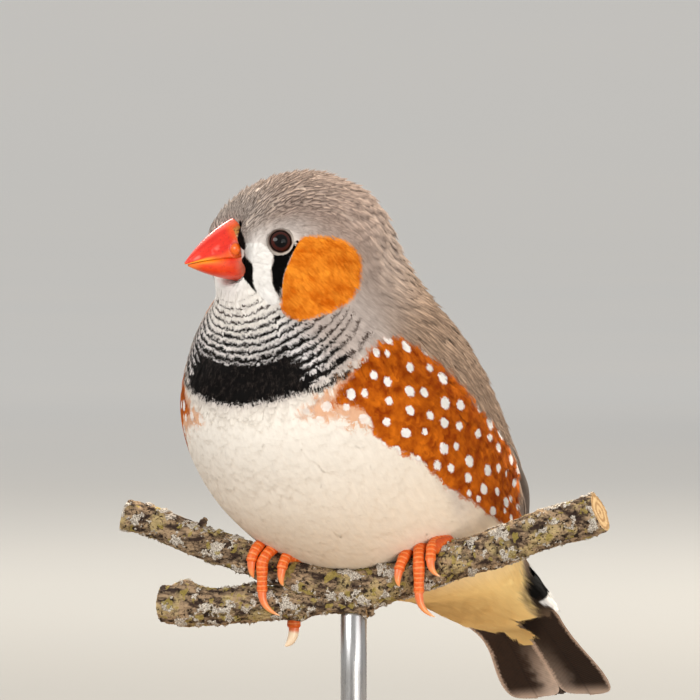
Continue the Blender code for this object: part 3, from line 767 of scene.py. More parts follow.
def wing_height(t, psi):
    """How far the folded wing, and the coverts over the tail's root, lift the coat above the body."""
    inner, outer = wing_inner(t), wing_outer(t)
    g = (psi - inner) / (outer - inner)
    thick = np.interp(wing_share(t), [0.0, 0.12, 0.4, 0.6, 0.8, 1.0], [0.0, 1.2, 1.5, 2.1, 1.9, 0.4])
    wing = thick * step(g, -0.05, 0.40) * (1 - step(g, 0.78, 1.30))
    rump = 1.5 * bump(t, 14.0, 0.9) * (1 - step(np.degrees(psi), 64, 88))
    return np.maximum(wing, rump)


def flow(t, phi):
    """Angle of the feathers' lie from the body's own lengthwise line, towards rising phi."""
    turn = -0.35 * step(t, 6.0, 8.0) * bump(np.abs(phi), 1.9, 0.5) * (1 - step(t, 10.5, 12.5))
    return turn * np.sign(phi)


def scatter(count, spacing, rng):
    """Roots spread over the body; spacing(t, phi, p) is the mean distance in millimetres."""
    k = np.arange(count)
    t = np.mod(0.5 + k * 0.7548776662466927, 1.0) * T_MAX
    phi = (np.mod(0.5 + k * 0.5698402909980532, 1.0) * 2 - 1) * math.pi
    p, _, mt, mp = look(t, phi)
    density = mt * mp / spacing(t, phi, p) ** 2
    cell = T_MAX * 2 * math.pi / count
    keep = rng.random(count) < density * cell
    return t[keep], phi[keep]


def feather_spacing(t, phi, p):
    """Mean distance between feathers, in millimetres."""
    psi = np.degrees(np.abs(phi))
    s = np.interp(t, [0, 0.5, 1.2, 3, 4.5, 6.2, 8, 11], [0.30, 0.38, 0.56, 0.68, 0.74, 0.84, 0.98, 1.05])
    fine = step(psi, 55, 75) * (1 - step(t, 4.6, 6.0)) * (1 - 0.6 * step(psi, 118, 140))
    s = s * (1 - 0.34 * fine)
    s = s * (1 + 0.08 * step(t, 0.8, 1.6) * (1 - step(psi, 46, 70)) * (1 - step(t, 5.0, 6.2)))
    eye = np.hypot(p[..., 1] - EYE_U, p[..., 2] - EYE_Z)
    return s * (1 - 0.22 * (1 - step(eye, 2.2, 4.0)) * (t < 4))


def feather_width(t, phi, p):
    """Feathers of the breast and belly are broad and overlap the most."""
    psi = np.degrees(np.abs(phi))
    broad = step(t, 5.8, 6.8) * step(psi, 88, 112)
    return (1.7 + 0.75 * broad) * feather_spacing(t, phi, p)


def feather_length(t, phi, p):
    psi = np.degrees(np.abs(phi))
    length = np.interp(t, [0, 0.5, 1.5, 3, 4.5, 6.2, 8, 11, 12.5, 14, 16],
                       [0.9, 1.3, 1.9, 2.5, 3.0, 3.8, 4.8, 5.6, 6.4, 7.0, 5.0])
    length = length * (1 - 0.15 * step(psi, 60, 80) * (1 - step(t, 3.2, 4.5)))
    return length * (1 + 0.15 * step(t, 6.4, 8.0) * step(psi, 100, 120) * (1 - step(t, 12.0, 13.0)))


def clear_eye(t, phi, p, length):
    """Feathers' lengths, cut where they would cover the eye."""
    ahead = look(t + 0.05, phi)[0] - p
    du, dz = ahead[:, 1], ahead[:, 2]
    norm = np.maximum(np.hypot(du, dz), 1e-6)
    du, dz = du / norm, dz / norm
    eu, ez = EYE_U - p[:, 1], EYE_Z - p[:, 2]
    along = eu * du + ez * dz
    off = np.abs(eu * dz - ez * du)
    reach = along - np.sqrt(np.maximum(EYE_GUARD ** 2 - off ** 2, 0.0))
    hit = (t < 4.0) & (np.abs(p[:, 0]) > 5.0) & (off < EYE_GUARD) & (along > 0) & (reach < length)
    return np.where(hit, np.clip(reach, 0.3, None), length)


def coat_arrays(t, phi, rng, kit, ruffle):
    """Vertices, normals and strand data of many small feathers rooted at (t, phi)."""
    n = len(t)
    p0, n0, mt, mp = look(t, phi)
    length = feather_length(t, phi, p0) * rng.uniform(0.82, 1.18, n)
    width = feather_width(t, phi, p0) * rng.uniform(0.85, 1.15, n)
    angle = flow(t, phi) + rng.normal(0.0, 0.08 + 0.08 * ruffle, n)
    length = clear_eye(t, phi, p0, length)
    d0 = coat_depth(t, p0)
    s, w = kit["s"][None, :], kit["w"][None, :]
    m = s.shape[1]
    tip, strand = kit["tip"], kit["strand"]
    jitter = rng.uniform(-1.0, 1.0, (n, m)) * tip
    sl = s * length[:, None] * (1 + 0.08 * jitter)
    wl = (w + 0.10 * rng.uniform(-1, 1, (n, m)) * tip) * 0.5 * width[:, None]
    bend = rng.normal(0.0, 0.08, n)[:, None] * s
    ca, sa = np.cos(angle[:, None] + bend), np.sin(angle[:, None] + bend)
    tv = t[:, None] + (sl * ca - wl * sa) / mt[:, None]
    pv = phi[:, None] + (sl * sa + wl * ca) / mp[:, None]
    surf, normal, _, _ = look(tv, pv)
    near = np.maximum(s, 0.0)
    r = ruffle[:, None]
    sleek = (step(t, 5.9, 6.6) * step(np.degrees(np.abs(phi)), 92, 110))[:, None]
    calm = 1.0 - 0.80 * sleek
    rise = -(0.85 - 0.60 * sleek) * d0[:, None] * (1 - near) - 0.03
    rise = rise + calm * rng.normal(0.0, 0.006, n)[:, None] * (1 + 6.0 * r) * near ** 1.5
    rise = rise + 0.80 * r * rng.uniform(0.0, 1.0, n)[:, None] ** 2.2 * near ** 2
    rise = rise - (0.02 * calm + 0.15 * r) * width[:, None] * w ** 2 * (0.4 + 0.6 * near)
    rise = rise + calm * ((strand > 0) * 0.022 + 0.03 * (1 + r) * rng.uniform(0, 1, (n, m)) * tip)
    rise = rise + wing_height(tv, np.abs(pv))
    # the undertail coverts lie below the tail's own feathers
    rise = rise + 0.3 * step(tv, 14.2, 15.2) * step(np.degrees(np.abs(pv)), 96, 114)
    v = lores(surf + normal * rise[..., None], tv, pv)
    # normals follow the coat's outline, rounded a little over each feather
    e = 0.02
    lateral = unit(look(tv, pv + e)[0] - surf, 1e-6)
    forward = unit(look(tv + e, pv)[0] - surf, 1e-6)
    sparkle = (rng.random((n, kit["barbs"] + 1)) - 0.5)[:, strand]
    tilt_w = (0.05 + 0.45 * r) * w + (0.16 + 0.30 * r) * sparkle * calm
    tilt_s = (0.03 + 0.35 * r) * (s - 0.72)
    direction = normal + lateral * tilt_w[..., None] + forward * tilt_s[..., None]
    spread = 0.70 + 0.30 * np.minimum(1.0, 1.6 * r)
    shade = 0.35 * rng.random(n)[:, None] + 0.65 * rng.random((n, kit["barbs"] + 1))[:, strand]
    shade = 0.5 + (shade - 0.5) * spread
    barb = np.stack([np.broadcast_to(s, (n, m)), np.broadcast_to(w, (n, m)), shade], -1)
    return v, direction, tv, pv, surf, barb


def posed_normals(v, direction):
    """Directions carried through the pose and into the frame's axes."""
    a = unit(pose(v + direction * 0.05) - pose(v), 1e-9)
    return np.stack([a[..., 0], -a[..., 1], a[..., 2]], -1)


def coat_piece(name, t, phi, mat, rng, kit, ruffle):
    """One piece of the coat, with its markings and its OFBake map."""
    v, direction, tv, pv, surf, barb = coat_arrays(t, phi, rng, kit, ruffle)
    n, m = v.shape[:2]
    *layers, plane = plumage_data(tv.ravel(), pv.ravel(), surf.reshape(-1, 3))
    plane = np.concatenate([plane, np.repeat(rng.random(n), m)[:, None]], -1)
    flat = v.reshape(-1, 3)
    posed = clear_perch(pose(flat), 0.05)
    base = (np.arange(n) * m)[:, None, None]
    quads = (kit["quads"][None] + base).reshape(-1, 4)
    tris = (kit["tris"][None] + base).reshape(-1, 3)
    spot = [(a - a.min()) / max(np.ptp(a), 1e-6) for a in (phi, t)]
    root = 0.01 + 0.975 * np.stack(spot, -1)
    patch = np.stack([kit["w"] * 0.0015, kit["s"] * 0.003], -1)
    uv = (root[:, None, :] + patch[None]).reshape(-1, 2)
    layers = plumage_layers(*layers, plane, barb.reshape(-1, 3))
    normals = posed_normals(flat, direction.reshape(-1, 3))
    obj = make_mesh(name, row(posed), [quads, tris], layers, uv, normals)
    obj.data.materials.append(mat)
    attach(obj, "root")
    return obj


def undertail_end(x):
    """How far back the undertail coverts are rooted: a point below the middle of the tail."""
    return np.interp(x - 0.3, [-9.0, -6.0, -4.5, -3.0, -1.5, 0.0, 1.0, 2.0, 3.0, 4.5, 6.0],
                     [14.0, 14.4, 14.8, 15.15, 15.6, 16.2, 15.8, 15.45, 15.15, 14.8, 14.4])


def flank_top(t):
    """Upper edge of the chestnut tract, in degrees from the back."""
    return np.interp(t, [6.25, 6.8, 7.7, 8.3, 8.9, 9.3, 9.8, 10.5, 11.1, 11.6, 12.2, 13],
                     [90, 83, 77, 75, 70, 65, 61, 59, 61, 66, 72, 76])


def coat_parts(t, phi):
    """For each piece of the coat: its kind of feather, and which roots are its own."""
    psi = np.abs(phi)
    head, neck, trunk = t < 4.3, (t >= 4.3) & (t < 6.3), (t >= 6.3) & (t < 13.0)
    flank = trunk & (psi >= 0.9) & (psi < 2.15)
    return {
        "coat_head_upper": (TUFT, head & (psi < 1.1)),
        "coat_head_lower": (FINE, head & (psi >= 1.1)),
        "coat_neck_upper": (TUFT, neck & (psi < 1.1)),
        "coat_neck_lower": (DOWN, neck & (psi >= 1.1)),
        "coat_back": (TUFT, trunk & (psi < 0.9)),
        "coat_flank_left": (DOWN, flank & (phi > 0)),
        "coat_flank_right": (DOWN, flank & (phi <= 0)),
        "coat_belly": (DOWN, trunk & (psi >= 2.15)),
        "coat_vent": (DOWN, t >= 13.0),
    }


def build_coat(mat):
    rng = np.random.default_rng(7)
    t, phi = scatter(200000, feather_spacing, rng)
    p = look(t, phi)[0]
    deg = np.degrees(np.abs(phi))
    eye = np.hypot(p[:, 1] - EYE_U, p[:, 2] - EYE_Z)
    keep = ~((eye < 1.95) & (t < 4.2))
    # the wing's long feathers show between the back and the chestnut tract
    window = (t > 9.3) & (t < 13.3) & (np.abs(phi) > wing_inner(t) + 0.10) & (deg < flank_top(t) - 1.0)
    keep &= ~window
    # the pale undertail ends in a point, with the tail's own feathers beside it
    pale = deg > vent_edge(t)
    keep &= np.where(pale, t < undertail_end(p[:, 0]), t < 14.6)
    # room for the feet, and no feathers inside the perch
    s, ahead, up = perch_near(pose(p))
    off = np.hypot(ahead, up)
    for hub in (LEFT_HUB, RIGHT_HUB):
        keep &= ~((np.abs(s - hub + 1.1) < 3.4) & (off < perch_radius(s) + 1.9))
    keep &= ~((off < perch_radius(s) - 0.6) & (s > PERCH_START) & (s < PERCH_END))
    t, phi, deg = t[keep], phi[keep], deg[keep]
    ruffle = (1 - step(deg, 56, 92)) * step(t, 0.3, 1.2) * (1 - 0.3 * step(t, 5.8, 7.5))
    ruffle = np.maximum(ruffle, 0.16 * step(t, 3.4, 4.6) * (1 - step(t, 5.9, 6.3)))
    for name, (kit, chosen) in coat_parts(t, phi).items():
        obj = coat_piece(name, t[chosen], phi[chosen], mat, rng, kit, ruffle[chosen])
        "plumage_cream" if name in ("coat_belly", "coat_vent") else "plumage_grey"


# ---- eyes, where they sit -----------------------------------------------------------------
def eye_place(side):
    t = np.linspace(0.6, 3.8, 161)[:, None]
    phi = np.linspace(0.2, 0.8, 121)[None, :] * math.pi
    t, phi = np.broadcast_arrays(t, phi)
    p = body(t, phi)
    k = np.unravel_index(np.hypot(p[..., 1] - EYE_U, p[..., 2] - EYE_Z).argmin(), t.shape)
    point, normal, _, _ = look(t[k][None], phi[k][None])
    point, normal = point[0], normal[0]
    flip = np.array([side, 1.0, 1.0])
    a = pose((point - normal * EYE_DEPTH) * flip)
    b = pose((point + normal * 1.0) * flip)
    return a, unit(b - a)


def revolve(centre, axis, profile, sides, wobble=None):
    """Rings round an axis: profile holds (radius, distance along the axis)."""
    e1 = unit(np.cross([0.0, 0.0, 1.0], axis))
    e2 = np.cross(axis, e1)
    a = circle(sides)
    spoke = np.cos(a)[:, None] * e1 + np.sin(a)[:, None] * e2
    rings = []
    for k, (r, h) in enumerate(profile):
        scale = 1.0 if wobble is None else 1.0 + wobble[k] * np.sin(9 * a + k)[:, None]
        rings.append(centre + spoke * r * scale + axis * h)
    return np.concatenate(rings)


# ---- skin ---------------------------------------------------------------------------------
LID = ((1.60, 1.36), (1.63, 1.50), (1.69, 1.58), (1.77, 1.57), (1.86, 1.50),
       (1.96, 1.38), (2.1, 1.15), (2.4, 0.8))
LID_RIPPLE = (0.0, 0.008, 0.012, 0.016, 0.02, 0.02, 0.0, 0.0)
LID_COLOURS = ((30, 20, 18), (34, 22, 20), (46, 32, 28), (96, 78, 70), (196, 186, 176), (214, 206, 198),
               (205, 196, 188), (190, 180, 172))
LID_PALE = (1, 1, 1, 0.6, 0, 0.25, 0.5, 0.6)
PLAIN_BARB = (0.6, 0.9, 0.5)
# three sets of markings, plane and barb where there are none
UNMARKED = ((-REACH, -REACH, -REACH), (0.0, 0.0, -REACH), (-REACH, -REACH, 0.0), (0.0, 0.0, 0.5), PLAIN_BARB)


def lid_tones(side, sides):
    """Colours of a lid's rings, each paler on one side of the eye."""
    pale = 0.5 + 0.5 * np.cos(circle(sides) + (2.36 if side > 0 else 0.785))
    shadow = np.tile(srgb(74, 58, 52), (sides, 1))
    rings = [mix(shadow, srgb(*c), np.maximum(pale, least)) for c, least in zip(LID_COLOURS, LID_PALE)]
    return np.concatenate([np.concatenate(rings), np.zeros((sides * len(rings), 1))], 1)


def build_skin(mat):
    """One skin under the coat, with the lids round both eyes."""
    rows, cols, lid_sides, end = 210, 200, 56, 15.0
    t, phi = np.meshgrid(np.linspace(0.0, end, rows), circle(cols) - math.pi, indexing="ij")
    p, n, _, _ = look(t, phi)
    v = lores(p - n * coat_depth(t, p)[..., None], t, phi)
    verts = clear_perch(pose(v.reshape(-1, 3)), 0.2)
    *layers, plane = plumage_data(t.ravel(), phi.ravel(), p.reshape(-1, 3))
    plane = np.concatenate([plane, np.full((len(plane), 1), 0.5)], -1)
    uv = np.stack([(phi.ravel() + math.pi) / (2 * math.pi), t.ravel() / end], -1)
    layers += [plane, np.tile(PLAIN_BARB, (len(verts), 1)), uv]
    layers = [np.vstack([a, a[:1], a[-1:]]) for a in layers]
    quads, tris = capped(rows, cols)
    faces = [quads]
    verts = np.vstack([verts, verts[:cols].mean(0), verts[-cols:].mean(0)])
    for side in (1.0, -1.0):
        ring = revolve(*eye_place(side), LID, lid_sides, LID_RIPPLE)
        faces.append(grid_faces(len(LID), lid_sides, wrap=True, offset=len(verts)))
        verts = np.vstack([verts, ring])
        spread = np.random.default_rng(3).random((len(ring), 2)) * 0.001
        plain = [np.tile(value, (len(ring), 1)) for value in UNMARKED]
        added = [lid_tones(side, lid_sides), *plain, np.array([0.5, 0.1]) + spread]
        layers = [np.vstack(pair) for pair in zip(layers, added)]
    obj = make_mesh("skin", row(verts), faces + [tris], plumage_layers(*layers[:-1]), layers[-1])
    obj.data.materials.append(mat)
    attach(obj, "root")
    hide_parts("head", "neck", "trunk", "tarsus_left", "tarsus_right")
    return obj


# ---- eyes ---------------------------------------------------------------------------------
def eye_material():
    n = Nodes("eye")
    ring = n.parts("eye_ring")[0]
    iris = n.mix(srgb(30, 10, 8), srgb(74, 27, 18), n.noise(9000.0, 3.0))
    col = n.mix(iris, srgb(12, 6, 5), n.ramp(ring, 0.84, 0.98))
    col = n.mix(col, (0.0012, 0.001, 0.0014), n.ramp(ring, 0.70, 0.60))
    return n.set(Base_Color=col, Roughness=0.05, IOR=1.34, Specular_IOR_Level=0.42)


def build_eye(name, side, node, mat):
    """A ball with a raised cornea; eye_ring holds the distance from the pupil's middle."""
    cornea, rings, sides = 1.60, 25, 48
    profile = []
    for k in range(rings):
        a = 0.72 * math.pi * k / (rings - 1)
        r, h = EYE_RADIUS * math.sin(a), EYE_RADIUS * math.cos(a)
        h += 0.16 * float(bump(r, 0.0, 1.05)) if h > 0 else 0.0
        profile.append((max(r, 1e-4), h))
    verts = revolve(*eye_place(side), profile, sides)
    ring = np.repeat([r / cornea if h > 0 else 2.0 for r, h in profile], sides)
    data = np.stack([ring, ring * 0, ring * 0], -1)
    faces = [grid_faces(rings, sides, wrap=True)]
    obj = make_mesh(name, row(verts), faces, [("eye_ring", "FLOAT_VECTOR", data)])
    obj.data.materials.append(mat)
    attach(obj, "root")
    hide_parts(node)


# ---- bill ---------------------------------------------------------------------------------
# curves (u, z) of the upper bill's ridge, both bills' edges and the lower bill's keel, base to tip
RIDGE = ((21.35, 54.8), (25.6, 52.7), (29.1, 48.4))
EDGE_UP = ((20.95, 49.7), (24.5, 49.30), (29.0, 48.2))
EDGE_LOW = ((20.9, 49.68), (24.4, 49.28), (28.5, 48.17))
KEEL = ((20.0, 45.55), (24.5, 46.2), (28.5, 47.95))
# the swelling at the nostril: place along and up the bill, and its half sizes
KNOB = (0.135, 0.27, 0.088, 0.18)


def bezier(a, b, c, f):
    f = np.asarray(f)[..., None]
    return np.asarray(a) * (1 - f) ** 2 + 2 * np.asarray(b) * f * (1 - f) + np.asarray(c) * f * f


def mandible(name, ridge, edge, half_base, upper, node, mat):
    """Half the bill, closed; the attribute holds place along it, height and side."""
    rows_f, arch, flat = 110, 81, 9
    f = np.linspace(-0.06, 0.985, rows_f)
    top = bezier(*ridge, f)
    low = bezier(*edge, f)
    rise = np.clip(f, 0, 1)
    half = half_base * (1 - rise) ** 0.78 * (1 - 0.10 * rise) + 0.10
    verts, info = [], []
    for i in range(rows_f):
        a = np.linspace(0, math.pi, arch)
        lift = np.sin(a) ** (0.82 if upper else 0.55)
        x = half[i] * np.cos(a) * (1 - 0.05 * lift)
        # a firmer ridge and a slight hollow beside the nostril
        keel = bump(a, math.pi / 2, 0.20) * 0.03 * (1 - rise[i]) if upper else 0.0
        pts = low[i] + (top[i] - low[i]) * (lift + keel)[:, None]
        # the seam: the edge bows down in front of the gape
        drop = 0.34 * float(bump(f[i], 0.12, 0.15)) + 0.14 * float(bump(f[i], 0.42, 0.22))
        z = pts[:, 1] - drop * (1 - lift)
        bulge = 0.0
        if upper:
            r2 = ((f[i] - KNOB[0]) / KNOB[2]) ** 2 + ((lift - KNOB[1]) / KNOB[3]) ** 2
            knob = np.sqrt(np.clip(1 - r2, 0, 1)) - 0.10 * np.exp(-((np.sqrt(r2) - 1.12) / 0.16) ** 2)
            nare = np.exp(-((f[i] - 0.02) / 0.05) ** 2 - ((lift - 0.62) / 0.16) ** 2)
            bulge = (0.75 * knob + 0.16 * nare) * np.sign(np.cos(a))
        verts.append(np.stack([x + bulge, pts[:, 0], z], -1))
        info.append(np.stack([np.full(arch, f[i]), lift, np.cos(a)], -1))
        xs = np.linspace(-half[i], half[i], flat + 2)[1:-1]
        verts.append(np.stack([xs, np.full(flat, low[i][0]), np.full(flat, low[i][1]) - drop], -1))
        info.append(np.stack([np.full(flat, f[i]), np.zeros(flat), xs / max(half[i], 0.01)], -1))
    count = arch + flat
    verts, info = np.concatenate(verts), np.concatenate(info)
    verts = np.vstack([verts, verts[:count].mean(0), verts[-count:].mean(0)])
    info = np.vstack([info, info[:1], info[-1:]])
    faces = capped(rows_f, count)
    if not upper:
        faces = [part[:, ::-1] for part in faces]
    obj = make_mesh(name, row(pose(verts)), faces, [("bill", "FLOAT_VECTOR", info)])
    obj.data.materials.append(mat)
    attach(obj, "root")
    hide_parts(node)


def upper_bill_colour(n, along, height, streak, fine, highlight_patches):
    col = n.mix(srgb(204, 28, 20), srgb(236, 60, 36), streak * 1.3 - 0.25)
    orange = n.mix(srgb(228, 62, 12), srgb(240, 110, 34), streak)
    col = n.mix(col, orange, n.ramp(0.62 - height - along * 0.9, 0.0, 0.30))
    col = n.mix(col, orange, n.ramp(along, 0.22, 0.06) * n.ramp(height, 0.42, 0.60) * 0.85)
    # pink patches along the middle of the upper bill: painted highlight
    painted_highlight = n.ramp(highlight_patches, 0.50, 0.66) * n.ramp(abs(height - 0.42), 0.22, 0.05)
    col = n.mix(col, srgb(246, 128, 116), painted_highlight * 0.75)
    col = n.mix(col, srgb(248, 158, 24), n.ramp(height, 0.26, 0.05) * n.ramp(along, 0.36, 0.74))
    # pink along the ridge: painted highlight
    col = n.mix(col, srgb(238, 110, 100), n.ramp(height, 0.90, 1.0) * 0.5)
    # the knob, painted shade in the groove round it, and the brown cap behind it
    away, high = (along - KNOB[0]) * (1 / KNOB[2]), (height - KNOB[1]) * (1 / KNOB[3])
    ring = n.math("SQRT", away * away + high * high)
    col = n.mix(col, n.mix(srgb(228, 78, 8), srgb(246, 118, 30), fine), n.ramp(ring, 1.05, 0.92))
    col = n.mix(col, srgb(118, 20, 10), n.ramp(ring, 0.86, 1.02) * n.ramp(ring, 1.30, 1.10) * 0.25)
    cap = n.ramp(abs(height - 0.64), 0.26, 0.14) * n.ramp(along, 0.085, 0.055)
    return n.mix(col, n.mix(srgb(92, 58, 26), srgb(206, 152, 72), n.ramp(fine, 0.3, 0.7)), cap * 0.9)


def lower_bill_colour(n, along, height, streak, highlight_patches):
    col = n.mix(srgb(216, 30, 6), srgb(238, 80, 22), streak * 1.5 - 0.25)
    col = n.mix(col, srgb(246, 140, 24), n.ramp(height, 0.45, 0.05) * n.ramp(along, 0.25, 0.75))
    col = n.mix(col, srgb(244, 120, 44), n.ramp(along, 0.70, 0.95))
    # pinkish patches near the base: painted highlight
    return n.mix(col, srgb(240, 132, 104), n.ramp(along, 0.22, 0.02) * n.ramp(highlight_patches, 0.40, 0.62))


def bill_material(upper):
    n = Nodes("bill_upper_horn" if upper else "bill_lower_horn")
    along, height, _ = n.parts("bill")
    streak = n.noise(900.0, 3.0, 0.6, n.stretched(1.0, 0.35, 1.0))
    fine = n.noise(3200.0, 2.0)
    highlight_patches = n.noise(420.0, 2.0, 0.5)
    if upper:
        col = upper_bill_colour(n, along, height, streak, fine, highlight_patches)
    else:
        col = lower_bill_colour(n, along, height, streak, highlight_patches)
    col = n.darker(col, 0.78, n.ramp(fine, 0.55, 0.75))
    n.bump(fine * 0.3 + streak, 0.25, 0.00012)
    return n.set(Base_Color=col, Roughness=0.28, Specular_IOR_Level=0.42, Coat_Weight=0.12,
                 Coat_Roughness=0.10)


# ---- feet ---------------------------------------------------------------------------------
# front toes: name; offsets along the perch of root, top and end; drop; claw's length and drift
LEFT_TOES = (
    ("inner", -2.0, -3.6, -4.4, -1.2, 2.7, 0.6),
    ("middle", 0.0, -1.6, -1.1, 3.5, 3.9, 2.5),
    ("outer", 2.0, 0.5, 0.7, -1.2, 2.6, 1.5),
)
RIGHT_TOES = (
    ("outer", -2.0, -3.4, -4.5, 0.0, 2.7, 0.5),
    ("middle", 0.0, -1.35, -2.8, 4.2, 3.8, 2.7),
    ("inner", 2.9, 1.1, 0.3, -0.6, 2.8, 0.6),
)
HIND_DROP = {"left": 0.7, "right": 9.0}
HIND_CLAW = {"left": 1.4, "right": 2.9}


def perch_spot(s, ahead, up):
    return perch_line(np.array(float(s))) + ACROSS * ahead + np.array([0.0, 0.0, up])


def round_perch(s, angle, gap):
    """A point at an angle round the perch, gap outside its bark."""
    reach = float(perch_radius(s)) + gap
    return perch_spot(s, reach * math.cos(angle), reach * math.sin(angle))


def toe_line(hub, fan, top, end, drop):
    """Middle line of a front toe; a drop above 0 hangs down past the perch, one below 0 shortens it."""
    line = []
    gap = TOE_RADIUS + 0.12
    for i in range(17):
        f = i / 16.0
        if f < 0.35:
            s = hub + fan + (top - fan) * float(smooth(f / 0.35))
        else:
            s = hub + top + (end - top) * float(smooth((f - 0.35) / 0.65))
        line.append(round_perch(s, math.radians(118.0) * (1 - f), gap))
    if drop > 0:
        reach = float(perch_radius(hub + end)) + gap
        line += [perch_spot(hub + end, reach, -drop * i / 6) for i in range(1, 7)]
    elif drop < 0:
        line = line[:round(drop * 2)]
    return np.array(line)


def hind_line(hub, drop):
    """Middle line of the hind toe, round the back of the perch and down."""
    gap = TOE_RADIUS + 0.2
    line = [round_perch(hub, math.radians(128.0 + 52.0 * i / 7), gap) for i in range(8)]
    line += [perch_spot(hub, -float(perch_radius(hub)) - gap, -drop * i / 7) for i in range(1, 8)]
    return np.array(line)


def resample(line, count):
    seg = np.concatenate([[0], np.cumsum(np.linalg.norm(np.diff(line, axis=0), axis=1))])
    at = np.linspace(0, seg[-1], count)
    return np.stack([np.interp(at, seg, line[:, k]) for k in range(3)], -1), at


def tube(line, radii, sides, ref=ALONG, upright=False):
    """Vertices of a tube; its rings start on the side that ref points to."""
    tangent = unit(np.gradient(line, axis=0))
    side = unit(ref - tangent * (tangent @ ref)[:, None])
    up = np.cross(side, tangent)
    if upright:
        up *= np.sign(up[:, 2])[:, None]
    a = circle(sides)
    ring = side[:, None] * np.cos(a)[None, :, None] + up[:, None] * np.sin(a)[None, :, None]
    r = radii[:, None] if np.ndim(radii) == 1 else radii
    return (line[:, None] + ring * r[..., None]).reshape(-1, 3)


def toe_mesh(line, pads, pad=1.0):
    """A toe with scutes across its upper side and pads below; gives vertices, faces and info."""
    pitch, sides = 0.72, 24
    line, at = resample(line, 90)
    f = at / at[-1]
    scute = np.mod(at / pitch, 1.0)
    step_up = 0.055 * (smooth(scute * 4.0) - scute)
    knuckle = 0.05 * np.cos(f * math.pi * 2 * pads)
    radius = TOE_RADIUS * (1.06 - 0.22 * f) * (1 + knuckle) * (1 + (pad - 1) * bump(f, 0.93, 0.08))
    close = np.sqrt(np.clip(1 - ((f - 0.955) / 0.045).clip(0, 1) ** 2, 0.02, 1))
    a = circle(sides)
    outer = 0.5 + 0.5 * np.sin(a)
    r = radius[:, None] * (1 + step_up[:, None] * outer[None, :] * 1.3)
    r = r * (1 - 0.10 * np.abs(np.sin(a))[None, :] ** 3) * close[:, None]
    verts = np.vstack([tube(line, r, sides), line[0], line[-1]])
    info = np.stack([np.repeat(at / pitch, sides), np.tile(outer, len(line)), np.repeat(f, sides)], -1)
    info = np.vstack([info, info[:1], info[-1:]])
    return verts, capped(len(line), sides), info


def leg_material():
    n = Nodes("leg_skin")
    scutes, outer, _ = n.parts("scale")
    speck = n.noise(2600.0, 3.0)
    gap = n.ramp(abs(n.math("FRACT", scutes + speck * 0.25) - 0.5), 0.26, 0.46)
    col = n.mix(srgb(198, 70, 12), srgb(234, 112, 30), speck * 1.4 - 0.2)
    col = n.mix(col, srgb(246, 168, 104), gap * outer * 0.50)
    col = n.mix(col, srgb(180, 62, 12), n.ramp(outer, 0.45, 0.10, 0.0, 0.6))
    n.bump(speck * 0.5 - gap, 0.35, 0.0001)
    return n.set(Base_Color=col, Roughness=0.45, Specular_IOR_Level=0.4, Subsurface_Weight=0.1,
                 Subsurface_Scale=0.0006)


def horn_material():
    n = Nodes("claw_horn")
    along = n.parts("scale")[2]
    streak = n.noise(2200.0, 2.0)
    col = n.mix(srgb(226, 96, 34), srgb(240, 142, 76), n.ramp(along, 0.15, 0.75))
    col = n.mix(col, srgb(246, 196, 150), n.ramp(along, 0.80, 1.0))
    col = n.mix(col, srgb(246, 190, 140), streak * 0.30)
    col = n.mix(col, srgb(250, 226, 196), n.attribute("pale", "Fac") * n.ramp(along, 0.10, 0.30))
    n.bump(streak, 0.15, 0.00006)
    return n.set(Base_Color=col, Roughness=0.28, Coat_Weight=0.2, Coat_Roughness=0.15)


def claw_mesh(root, ahead, length, drift, curl, thick, blunt):
    """A curved, tapering claw; it leaves the toe straight and hooks towards its tip."""
    rings, sides = 26, 16
    f = np.linspace(0, 1, rings)[:, None]
    line = root + ahead * length * (f - 0.16 * f ** 3) + ALONG * drift * f ** 2.4 + ACROSS * curl * f ** 2.2
    size = thick * (1 - f[:, 0] ** blunt) ** 0.8 + 0.03
    verts = np.vstack([tube(line, size, sides), line[0], line[-1]])
    along = np.append(np.repeat(f[:, 0], sides), [0, 1])
    info = np.stack([np.zeros(len(verts)), np.ones(len(verts)), along], -1)
    return verts, capped(rings, sides), info


